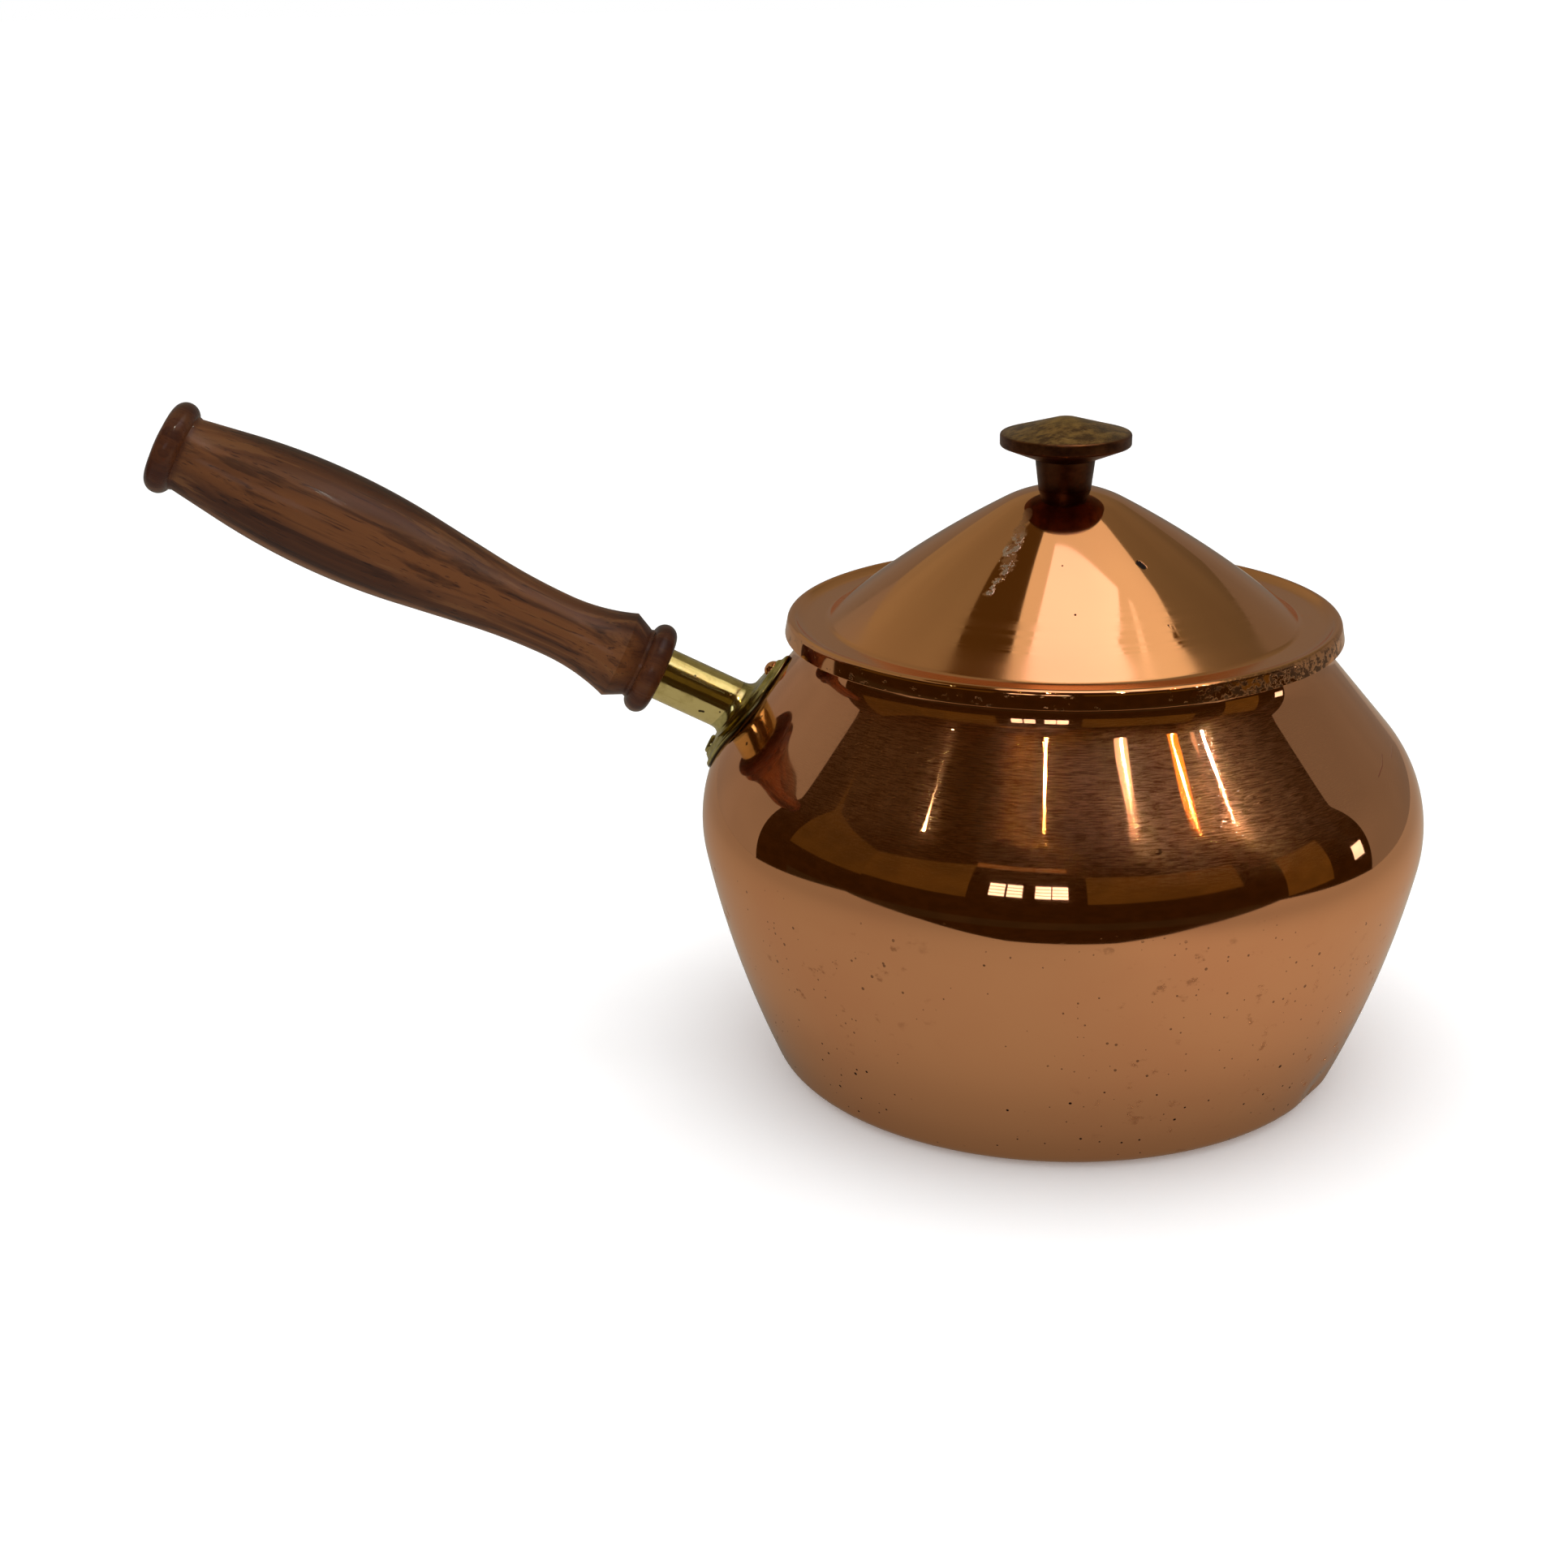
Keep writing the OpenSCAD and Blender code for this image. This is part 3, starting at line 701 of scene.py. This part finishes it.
def lid_copper():
    """Polished copper with a torn patch, two nicks, faint spun ripples and a tarnished edge."""
    paint, tree, shader = new_paint("lid_copper_paint", Metallic=1.0, Specular_Tint=EDGE_TINT)
    z = height_of(tree)
    turned = turn_of(tree)
    haze = noise(tree, (16, 16, 16), 4.0, 0.6)
    ripple = noise(tree, (12, 12, 1500), 2.0, 0.5)
    low_cone = product(tree, ramp(tree, z, *CONE_TO), ramp(tree, z, *CONE_FROM))
    edge = ramp(tree, out_of(tree), *LID_EDGE)
    sector = product(tree, ramp(tree, turned, *CRUST_FROM), ramp(tree, turned, *CRUST_TO))
    mottle = ramp(tree, noise(tree, (420, 420, 620), 4.0, 0.65), 0.46, 0.54)
    faint = ramp(tree, noise(tree, (300, 300, 500), 4.0, 0.65), 0.60, 0.68)
    crust = product(tree, edge, most(tree, product(tree, sector, mottle), product(tree, faint, 0.8)),
                    ramp(tree, z, 126.2, 125.0, 0.45, 1.0))
    torn = most(tree, mark(tree, [on_round(-36, 16, 156.6), on_round(-30, 24, 152.3)], 3.2, 5.0, 420),
                mark(tree, [on_round(-30, 23.5, 152.6), on_round(-25.4, 34, 145.7)], 4.6, 6.5, 420),
                mark(tree, [on_round(-25.4, 34, 145.7), on_round(-27.5, 41.5, 140.7)], 2.6, 5.0, 420))
    flecks = product(tree, torn, ramp(tree, noise(tree, (520, 520, 520), 3.0, 0.6), 0.50, 0.53),
                     ramp(tree, z, 153.5, 150.5))
    nicks = most(tree, mark(tree, [on_round(33.9, 33.2, 146.4), on_round(34.6, 34.3, 145.6)], 2.3, 0.3),
                 mark(tree, [on_round(30.2, 50.2, 134.4), on_round(30.6, 51.6, 133.2)], 0.9, 0.3),
                 mark(tree, [on_round(2.7, 45.9, 137.7)], 0.8, 0.2),
                 mark(tree, [on_round(-1.7, 32.4, 146.8)], 0.7, 0.2))
    faded = ramp(tree, haze, 0.4, 0.75, 0.0, 0.45)
    colour = blend(tree, faded, rgb(0.93, 0.43, 0.19), rgb(0.88, 0.37, 0.17))
    colour = blend(tree, product(tree, torn, 0.35), colour, rgb(0.60, 0.36, 0.24))
    colour = blend(tree, flecks, colour, rgb(0.92, 0.70, 0.60))
    colour = blend(tree, product(tree, crust, 0.9), colour, TARNISH)
    colour = blend(tree, nicks, colour, rgb(0.03, 0.02, 0.02))
    spun_lines = product(tree, low_cone, ramp(tree, ripple, 0.4, 0.6))
    rough = calc(tree, "MULTIPLY_ADD", spun_lines, 0.06, 0.05)
    rough = calc(tree, "MULTIPLY_ADD", ramp(tree, haze, 0.35, 0.8), 0.03, rough)
    flange = product(tree, ramp(tree, z, *FLANGE_TOP), ramp(tree, out_of(tree), *FLANGE_RIM))
    rough = calc(tree, "MULTIPLY_ADD", flange, 0.10, rough)
    rough = calc(tree, "MULTIPLY_ADD", most(tree, crust, product(tree, torn, 0.7), nicks), 0.3, rough)
    relief = calc(tree, "MULTIPLY", product(tree, low_cone, ripple), 0.006)
    relief = calc(tree, "MULTIPLY_ADD", nicks, -0.2, relief)
    relief = calc(tree, "MULTIPLY_ADD", flecks, 0.06, relief)
    relief = calc(tree, "MULTIPLY_ADD", crust, -0.03, relief)
    relief = calc(tree, "MULTIPLY_ADD", noise(tree, (30, 30, 30), 1.0), 0.06, relief)
    finish_paint(tree, shader, colour, rough, relief, MM)
    return paint


def tin():
    paint, tree, shader = new_paint("tin_paint", Metallic=1.0)
    rings = noise(tree, (15, 15, 1500), 3.0, 0.6)
    cloud = noise(tree, (30, 30, 30), 4.0, 0.6)
    colour = blend(tree, ramp(tree, cloud, 0.35, 0.7), rgb(0.62, 0.60, 0.57), rgb(0.42, 0.40, 0.38))
    rough = calc(tree, "MULTIPLY_ADD", rings, 0.15, 0.24)
    finish_paint(tree, shader, colour, rough, rings, 0.02 * MM)
    return paint


def brass(name, bright, dull, shine, marks=()):
    """Brass drawn along the grip, with dark spots, marks given as strokes, and grime with painted shade
    where it meets the pan's skin.
    """
    paint, tree, shader = new_paint(name, Metallic=1.0)
    cloud = noise(tree, (160, 160, 160), 5.0, 0.65)
    smear = noise(tree, (900, 900, 60), 3.0, 0.6, AT_GRIP.to_euler())
    spots = pits(tree, 3.0, 0.4, 0.3)
    for places, width in marks:
        spots = most(tree, spots, mark(tree, places, width, 0.5, 1500))
    colour = blend(tree, ramp(tree, cloud, 0.42, 0.72), bright, dull)
    colour = blend(tree, ramp(tree, smear, 0.55, 0.75, 0.0, 0.5), colour, dull)
    colour = blend(tree, spots, colour, rgb(0.08, 0.055, 0.025))
    # Painted shade with grime: near black where the plate's attribute marks its underside and its edge
    # at the pan.
    colour = blend(tree, add(tree, "Attribute", attribute_name="grime_and_shade").outputs["Fac"], colour,
                   rgb(0.05, 0.03, 0.015))
    rough = calc(tree, "MULTIPLY_ADD", ramp(tree, cloud, 0.35, 0.75), 0.10, shine)
    rough = calc(tree, "MULTIPLY_ADD", spots, 0.3, rough)
    relief = calc(tree, "MULTIPLY_ADD", spots, -0.05, calc(tree, "MULTIPLY", smear, 0.02))
    relief = calc(tree, "MULTIPLY_ADD", noise(tree, (110, 110, 110), 2.0), 0.12, relief)
    finish_paint(tree, shader, colour, rough, relief, MM)
    return paint


def bronze():
    """Knob: red-brown patina with painted shade on the stem and under the rim, and a golden olive top
    where hands have rubbed it.
    """
    paint, tree, shader = new_paint("knob_bronze_paint", Metallic=1.0)
    z = height_of(tree)
    top = ramp(tree, z, SEAT_Z + 14.5, SEAT_Z + 15.1)
    cloud = noise(tree, (120, 120, 200), 5.0, 0.65)
    rubbed = noise(tree, (260, 420, 260), 6.0, 0.7, (0, 0, 0.5))
    rings = noise(tree, (60, 60, 2500), 2.0, 0.5)
    scored = hairlines(tree, (1.57, 0, 1.1), 3500, 90, 0.62)
    side = blend(tree, ramp(tree, cloud, 0.35, 0.7), rgb(0.20, 0.075, 0.028), rgb(0.07, 0.025, 0.012))
    # Painted shade: the stem and the dished underside are darkened inward of 15.5 mm from the axis,
    # fully inside 13 mm, as if shaded by the rim above.
    stem = ramp(tree, out_of(tree), 15.5, 13)
    side = blend(tree, product(tree, stem, 0.6), side, rgb(0.045, 0.016, 0.008))
    worn = blend(tree, ramp(tree, rubbed, 0.38, 0.62), rgb(0.14, 0.068, 0.024), rgb(0.47, 0.27, 0.085))
    worn = blend(tree, ramp(tree, out_of(tree), 9, 1, 0.0, 0.5), worn, rgb(0.62, 0.40, 0.14))
    worn = blend(tree, product(tree, scored, 0.4), worn, rgb(0.75, 0.5, 0.2))
    colour = blend(tree, top, side, worn)
    rough = calc(tree, "MULTIPLY_ADD", cloud, 0.25, 0.26)
    relief = calc(tree, "MULTIPLY_ADD", rings, 0.02, calc(tree, "MULTIPLY", cloud, 0.05))
    finish_paint(tree, shader, colour, rough, relief, MM)
    return paint


def wood():
    """Dark lacquered rosewood, its grain along the grip."""
    paint, tree, shader = new_paint("grip_wood_paint", Coat_Weight=0.2, Coat_Roughness=0.16,
                                    Coat_IOR=1.45, Specular_IOR_Level=0.1)
    lay = AT_GRIP.to_euler()
    grain = noise(tree, (220, 220, 4), 5.0, 0.62, lay, distortion=0.4)
    broad = noise(tree, (65, 65, 3), 3.0, 0.5, lay, distortion=0.5)
    pores = noise(tree, (1700, 1700, 45), 2.0, 0.6, lay)
    colour = blend(tree, ramp(tree, broad, 0.36, 0.66),
                   rgb(0.038, 0.012, 0.005), rgb(0.118, 0.041, 0.012))
    colour = blend(tree, ramp(tree, grain, 0.50, 0.62, 0.0, 0.65), colour, rgb(0.020, 0.007, 0.004))
    colour = blend(tree, ramp(tree, grain, 0.44, 0.36, 0.0, 0.5), colour, rgb(0.14, 0.056, 0.017))
    colour = blend(tree, ramp(tree, pores, 0.6, 0.68, 0.0, 0.6), colour, rgb(0.012, 0.005, 0.004))
    reach = add(tree, "VectorMath", {0: position(tree), 1: GRIP_AXIS * 1000}, operation="DOT_PRODUCT")
    reach = calc(tree, "SUBTRACT", reach.outputs["Value"], FOOT.dot(GRIP_AXIS))
    ends = most(tree, ramp(tree, reach, TUBE_SHOW + 12.6, TUBE_SHOW + 7),
                ramp(tree, reach, GRIP_END - 9.5, GRIP_END - 8))
    colour = blend(tree, product(tree, ends, 0.6), colour, rgb(0.035, 0.009, 0.005))
    rough = calc(tree, "MULTIPLY_ADD", grain, 0.2, 0.30)
    rough = calc(tree, "MULTIPLY_ADD", ends, -0.12, rough)
    relief = calc(tree, "MULTIPLY_ADD", ramp(tree, pores, 0.58, 0.7), -0.025,
                  calc(tree, "MULTIPLY", grain, 0.03))
    finish_paint(tree, shader, colour, rough, relief, MM)
    return paint


# ---- light and stage ----

def lamp_paint(name):
    paint = bpy.data.materials.new(name)
    paint.use_nodes = True
    tree = paint.node_tree
    tree.nodes.clear()
    lamp = add(tree, "Emission")
    tree.links.new(lamp.outputs[0], add(tree, "OutputMaterial").inputs["Surface"])
    return paint, tree, lamp


def glow(name, colour, strength, change=0.0, tilt=0.0):
    """Soft lamp paint, a little uneven, and stronger towards +X by a tilt per metre."""
    paint, tree, lamp = lamp_paint(name)
    level = ramp(tree, noise(tree, (2.5, 2.5, 2.5), 2.0), 0.3, 0.7,
                 strength * (1 - change), strength * (1 + change))
    across = add(tree, "SeparateXYZ", {0: position(tree)}).outputs["X"]
    level = calc(tree, "MULTIPLY", level, calc(tree, "MULTIPLY_ADD", across, tilt, 1.0))
    lamp.inputs["Color"].default_value = rgb(*colour)
    tree.links.new(level, lamp.inputs["Strength"])
    return paint


def sheet_glow():
    """The sheet round the pan: dark under it, brighter further out and to the right."""
    paint, tree, lamp = lamp_paint("tent_sheet_paint")
    axes = add(tree, "SeparateXYZ", {0: position(tree)}).outputs
    flat = add(tree, "CombineXYZ", {"X": axes["X"], "Y": axes["Y"]}).outputs[0]
    away = add(tree, "VectorMath", {0: flat}, operation="LENGTH").outputs["Value"]
    # Painted shadow: the glow is dimmest close to the pan, where the pan's shadow on the table would
    # fall.
    curve = add(tree, "FloatCurve", {"Value": calc(tree, "MULTIPLY", away, 2)})
    set_curve(curve, ((0, 0.10), (0.15, 0.175), (0.18, 0.25), (0.25, 0.37), (0.40, 0.39), (0.55, 0.375),
                      (0.75, 0.34), (1, 0.33)))
    side = add(tree, "FloatCurve", {"Value": calc(tree, "MULTIPLY_ADD", axes["X"], 1, 0.5)})
    set_curve(side, ((0, 0.42), (0.2, 0.43), (0.5, 0.5), (0.62, 0.59), (0.85, 0.5), (1, 0.5)))
    level = calc(tree, "MULTIPLY", calc(tree, "MULTIPLY", curve.outputs[0], side.outputs[0]), 2)
    lamp.inputs["Color"].default_value = rgb(*WARM)
    tree.links.new(level, lamp.inputs["Strength"])
    return paint


def set_curve(node, points):
    line = node.mapping.curves[0]
    line.points[0].location, line.points[1].location = points[0], points[-1]
    for x, y in points[1:-1]:
        line.points.new(x, y)
    node.mapping.update()


def card(name, corners, paint):
    """Flat lamp that only shows in reflections. Corners are in millimetres."""
    mesh = bpy.data.meshes.new(name)
    mesh.from_pydata([Vector(c) * MM for c in corners], [], [tuple(range(len(corners)))])
    mesh.materials.append(paint)
    made = bpy.data.objects.new(name, mesh)
    bpy.context.scene.collection.objects.link(made)
    made.visible_camera = False
    made.visible_diffuse = False
    made.visible_shadow = False


def toward(turn, rise, distance):
    """Point at a turn to the right of the front and a rise, in degrees, from the pan's middle."""
    t, e = radians(turn), radians(rise)
    return (distance * cos(e) * sin(t), -distance * cos(e) * cos(t), 80 + distance * sin(e))


def far_card(name, turns, rises, colour, strength, distance=2600, slope=0.0):
    """Card far off in the dark room, between two turns and two rises."""
    (left, right), (low, high) = turns, rises
    steps = max(1, round((right - left) / 12))
    paint = glow(name + "_paint", colour, strength, 0.12)
    for i in range(steps):
        a = left + (right - left) * i / steps
        b = left + (right - left) * (i + 1) / steps
        top_a, top_b = high + slope * i / steps, high + slope * (i + 1) / steps
        corners = [toward(a, low, distance), toward(b, low, distance),
                   toward(b, top_b, distance), toward(a, top_a, distance)]
        card(f"{name}_{i}", corners, paint)


def far_disc(name, turn, rise, radius, colour, strength, distance=2300, sides=16):
    """Round or many-cornered lamp far off, its radius in degrees."""
    corners = [toward(turn + radius * cos(2 * pi * i / sides) / cos(radians(rise)),
                      rise + radius * sin(2 * pi * i / sides), distance) for i in range(sides)]
    card(name, corners, glow(name + "_paint", colour, strength))


WARM = (1.0, 0.95, 0.80)
WALL_LIGHT = (1.0, 0.96, 0.84)
ROOF_LIGHT = (1.0, 0.92, 0.62)
LAMPLIGHT = (1.0, 0.64, 0.14)


def light_tent():
    """White sheet, side walls, back and ceiling, open to a dark room in front."""
    left, right, back, tall, left_end, right_end = -515, 515, 900, 900, 75, 85
    under, roof = -0.4, 500
    sheet = [(left, back), (left, left_end), (-900, -290), (-1100, -520), (-480, -437), (-300, -395),
             (-70, -300), (75, -300), (300, -385), (480, -420), (1100, -500), (900, -290),
             (right, right_end), (right, back)]
    card("tent_sheet", [(x, y, under) for x, y in sheet], sheet_glow())
    for name, x, y, level in (("tent_left", left, left_end, 0.26),
                              ("tent_right", right, right_end, 0.20)):
        card(name, [(x, y, 0), (x, back, 0), (x, back, tall), (x, y, tall)],
             glow(name + "_paint", WALL_LIGHT, level, 0.08))
    card("tent_back", [(left, back, 0), (right, back, 0), (right, back, tall), (left, back, tall)],
         glow("tent_back_paint", WALL_LIGHT, 0.20, 0.08))
    cover = [(left, left_end), (-310, -180), (345, -180), (right, right_end), (right, back),
             (left, back)]
    card("roof", [(x, y, roof) for x, y in cover], glow("roof_paint", ROOF_LIGHT, 0.215, 0.08, -0.75))
    gap = [(-245, -180), (-231, 0), (-175, 119), (-150, 150), (-100, 150), (-62, 90), (-109, -75),
           (-130, -180)]
    bright = [(-130, -180), (-109, -75), (-62, 90), (-20, 169), (156, 169), (225, 119), (262, 50),
              (285, 27), (330, -60), (350, -180)]
    lamp = [(-22, 62), (131, 44), (122, -20), (115, -35), (145, -65), (170, -150), (-85, -150),
            (-69, -75)]
    streak = [(150, 40), (160, 40), (215, -150), (185, -150)]
    nick = [(240, 75), (268, 45), (238, 45)]
    layers = (("gap", gap, (1.0, 0.62, 0.16), 0.075), ("bright", bright, (1.0, 0.95, 0.78), 0.85),
              ("lamp", lamp, (1.0, 0.93, 1.05), 1.6), ("streak", streak, (1.0, 0.97, 0.9), 1.15),
              ("nick", nick, (1.0, 0.62, 0.16), 0.09))
    for i, (name, corners, colour, level) in enumerate(layers):
        card("roof_" + name, [(x, y, roof - 1 - i) for x, y in corners],
             glow(f"roof_{name}_paint", colour, level, 0.1))


def dark_room():
    """Cupboards, a window and lamps in the room that the tent is open to."""
    far_card("room_dark", (-108, 112), (-30, 75), (1.0, 0.5, 0.10), 0.028, 8000)
    far_card("cupboards_left", (-92, -62), (10, 39), LAMPLIGHT, 0.07, slope=-11)
    far_card("cupboards_mid", (-62, -28), (11, 28), LAMPLIGHT, 0.08, slope=7)
    far_card("cupboards_right", (8, 56), (11, 31), LAMPLIGHT, 0.085, slope=-4)
    far_card("door", (70, 88), (-3, 21), LAMPLIGHT, 0.10)
    far_card("shelf", (-90, 60), (-8, -3), (1.0, 0.7, 0.3), 0.035)
    far_card("valance", (-28, 2), (34, 37), (1.0, 0.6, 0.2), 0.16, 2550)
    white, near = (0.95, 1.0, 1.1), 2500
    sill, pane_w, pane_h, pane_step = 14.8, 4.7, 1.8, 2.3
    for i, left in enumerate((-21.5, -16.1, -7.5, -2.4)):
        for j in range(4):
            low = sill + pane_step * j
            far_card(f"window_{i}_{j}", (left, left + pane_w), (low, low + pane_h), white, 3.2, near)
    far_card("side_window", (98, 103), (0, 7), white, 2.0, near)
    orange, yellow, pale = (1.0, 0.5, 0.13), (1.0, 0.72, 0.3), (1.0, 0.93, 0.8)
    for name, turn, rise, radius, colour, strength in (
            ("faint", -58, 50, 0.3, pale, 200), ("orange", -27, 62, 0.25, orange, 2000),
            ("yellow", -8.5, 59.6, 0.3, yellow, 1300), ("white", 34, 58.6, 0.45, pale, 1300),
            ("amber", 59, 51.2, 0.3, yellow, 700), ("far_white", 73, 47, 0.35, pale, 2000)):
        far_disc("lamp_" + name, turn, rise, radius, colour, strength)
    far_disc("amber_shade", 59, 51.2, 2.0, (1.0, 0.42, 0.03), 2.2, 2400, 4)
    far_disc("white_shade", 34, 58.0, 2.2, pale, 1.6, 2400, 6)


def floor():
    """Plain pale floor. The metal reflects the tent's sheet in place of it."""
    half = 12
    corners = [(-half, -half, 0), (half, -half, 0), (half, half, 0), (-half, half, 0)]
    mesh = bpy.data.meshes.new("floor")
    mesh.from_pydata(corners, [], [(0, 1, 2, 3)])
    paint, tree, shader = new_paint("floor_paint", Specular_IOR_Level=0.0, Emission_Strength=0.12)
    shader.inputs["Emission Color"].default_value = rgb(1, 1, 1)
    speck = noise(tree, (60, 60, 60), 3.0)
    colour = blend(tree, speck, rgb(0.95, 0.95, 0.95), rgb(0.97, 0.97, 0.97))
    finish_paint(tree, shader, colour, calc(tree, "MULTIPLY_ADD", speck, 0.05, 0.9))
    mesh.materials.append(paint)
    made = bpy.data.objects.new("floor", mesh)
    bpy.context.scene.collection.objects.link(made)
    made.visible_glossy = False


def studio_light():
    """White surround for the camera and for matt surfaces, and one broad soft lamp overhead."""
    world = bpy.data.worlds.new("studio")
    bpy.context.scene.world = world
    world.use_nodes = True
    surround = world.node_tree.nodes["Background"]
    surround.inputs["Color"].default_value = rgb(1, 1, 1)
    surround.inputs["Strength"].default_value = 1.0
    world.cycles_visibility.glossy = False
    lamp = bpy.data.lights.new("overhead", "AREA")
    lamp.shape = "RECTANGLE"
    lamp.size, lamp.size_y, lamp.energy = 0.9, 0.7, 3
    made = bpy.data.objects.new("overhead", lamp)
    made.location = (0.1, -0.15, 1.1)
    made.visible_glossy = False
    made.visible_camera = False
    bpy.context.scene.collection.objects.link(made)


def camera():
    """Slightly above the rim, in front and a little to the left, looking a little past the pan."""
    lens = bpy.data.cameras.new("camera")
    lens.sensor_width = 36
    lens.lens = 54.69
    made = bpy.data.objects.new("camera", lens)
    away, turn, height = 623.2, -91.5, 295.3
    yaw, pitch, roll = 5.448, 19.313, -0.978
    place = Vector((away * cos(radians(turn)), away * sin(radians(turn)), height)) * MM
    made.matrix_world = (Matrix.Translation(place) @ Matrix.Rotation(radians(yaw), 4, "Z")
                         @ Matrix.Rotation(radians(90 - pitch), 4, "X")
                         @ Matrix.Rotation(radians(roll), 4, "Z"))
    bpy.context.scene.collection.objects.link(made)
    bpy.context.scene.camera = made


# ---- the saucepan ----

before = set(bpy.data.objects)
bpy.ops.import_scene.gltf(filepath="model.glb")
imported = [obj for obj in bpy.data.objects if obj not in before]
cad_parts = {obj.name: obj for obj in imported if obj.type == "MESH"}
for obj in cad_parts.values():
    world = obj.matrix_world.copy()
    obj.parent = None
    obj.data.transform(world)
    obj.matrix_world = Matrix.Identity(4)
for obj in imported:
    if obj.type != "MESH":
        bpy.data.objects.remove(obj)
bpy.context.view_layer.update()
camera()
light_tent()
dark_room()
floor()
studio_light()
bpy.context.scene.view_settings.view_transform = "Standard"

tin_paint = tin()
lid_paint = lid_copper()
tube_marks = [([on_tube(243, 11.8), on_tube(246, 10.9)], 0.9),
              ([on_tube(251, 5.2), on_tube(256, 3.6)], 1.3),
              ([on_tube(303, 21), on_tube(303, 14), on_tube(304, 8)], 0.28)]
tube_paint = brass("tube_brass_paint", rgb(0.90, 0.72, 0.30), rgb(0.66, 0.50, 0.17), 0.09, tube_marks)
plate_paint = brass("plate_brass_paint", rgb(0.66, 0.55, 0.22), rgb(0.34, 0.27, 0.09), 0.16)

pan = piece_for(lathe("pan", pan_outline(), TURNS), "pot", "pan_copper", pan_copper(), "pot_body")
dent(pan, DENT_AT, DENT_R * MM, DENT_DEPTH * MM)
piece_for(lathe("pan_tin", lining_outline(), TURNS), "pot", "tin", tin_paint, "pot_lining")
piece_for(lathe("lid", lid_outline(), TURNS), "lid", "lid_copper", lid_paint, "lid_shell")
piece_for(lathe("lid_tin", lid_lining_outline(), TURNS), "lid", "tin", tin_paint, "lid_lining")
piece_for(lathe("knob", knob_outline(), 180), "lid", "knob_bronze", bronze(), "lid_knob")
piece_for(lathe("grip", grip_outline(), 192, AT_GRIP), "pot", "grip_wood", wood(), "handle_grip")
tube = piece_for(lathe("tube", tube_outline(), 144, AT_GRIP), "pot", "tube_brass", tube_paint,
                 "handle_tube")
stand_on_plate(tube)
piece_for(plate(), "pot", "plate_brass", plate_paint, "handle_plate")
piece_for(fillet(), "pot", "braze", plate_paint, "braze_fillet")

low_turn = SHOULDER_LEAN - degrees((RIVET_LOW - FOOT_UP) / BELLY_R)
upper = rivet_place(along(BRACKET_P, 90 + SHOULDER_LEAN, RIVET_S), SHOULDER_LEAN)
lower = rivet_place(along(BELLY_C, low_turn, BELLY_R), low_turn)
piece_for(lathe("rivet_dome", rivet_outline(2.4, 1.5, False), 64, upper), "pot", "rivet_copper",
          lid_paint, "rivet_upper")
piece_for(lathe("rivet_eyelet", rivet_outline(2.7, 0.75, True), 64, lower), "pot", "rivet_brass",
          plate_paint, "rivet_lower")

for node, paint in (("handle_pin", plate_paint), ("knob_washer", tin_paint), ("knob_nut", tin_paint)):
    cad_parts[node].data.materials.clear()
    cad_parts[node].data.materials.append(paint)
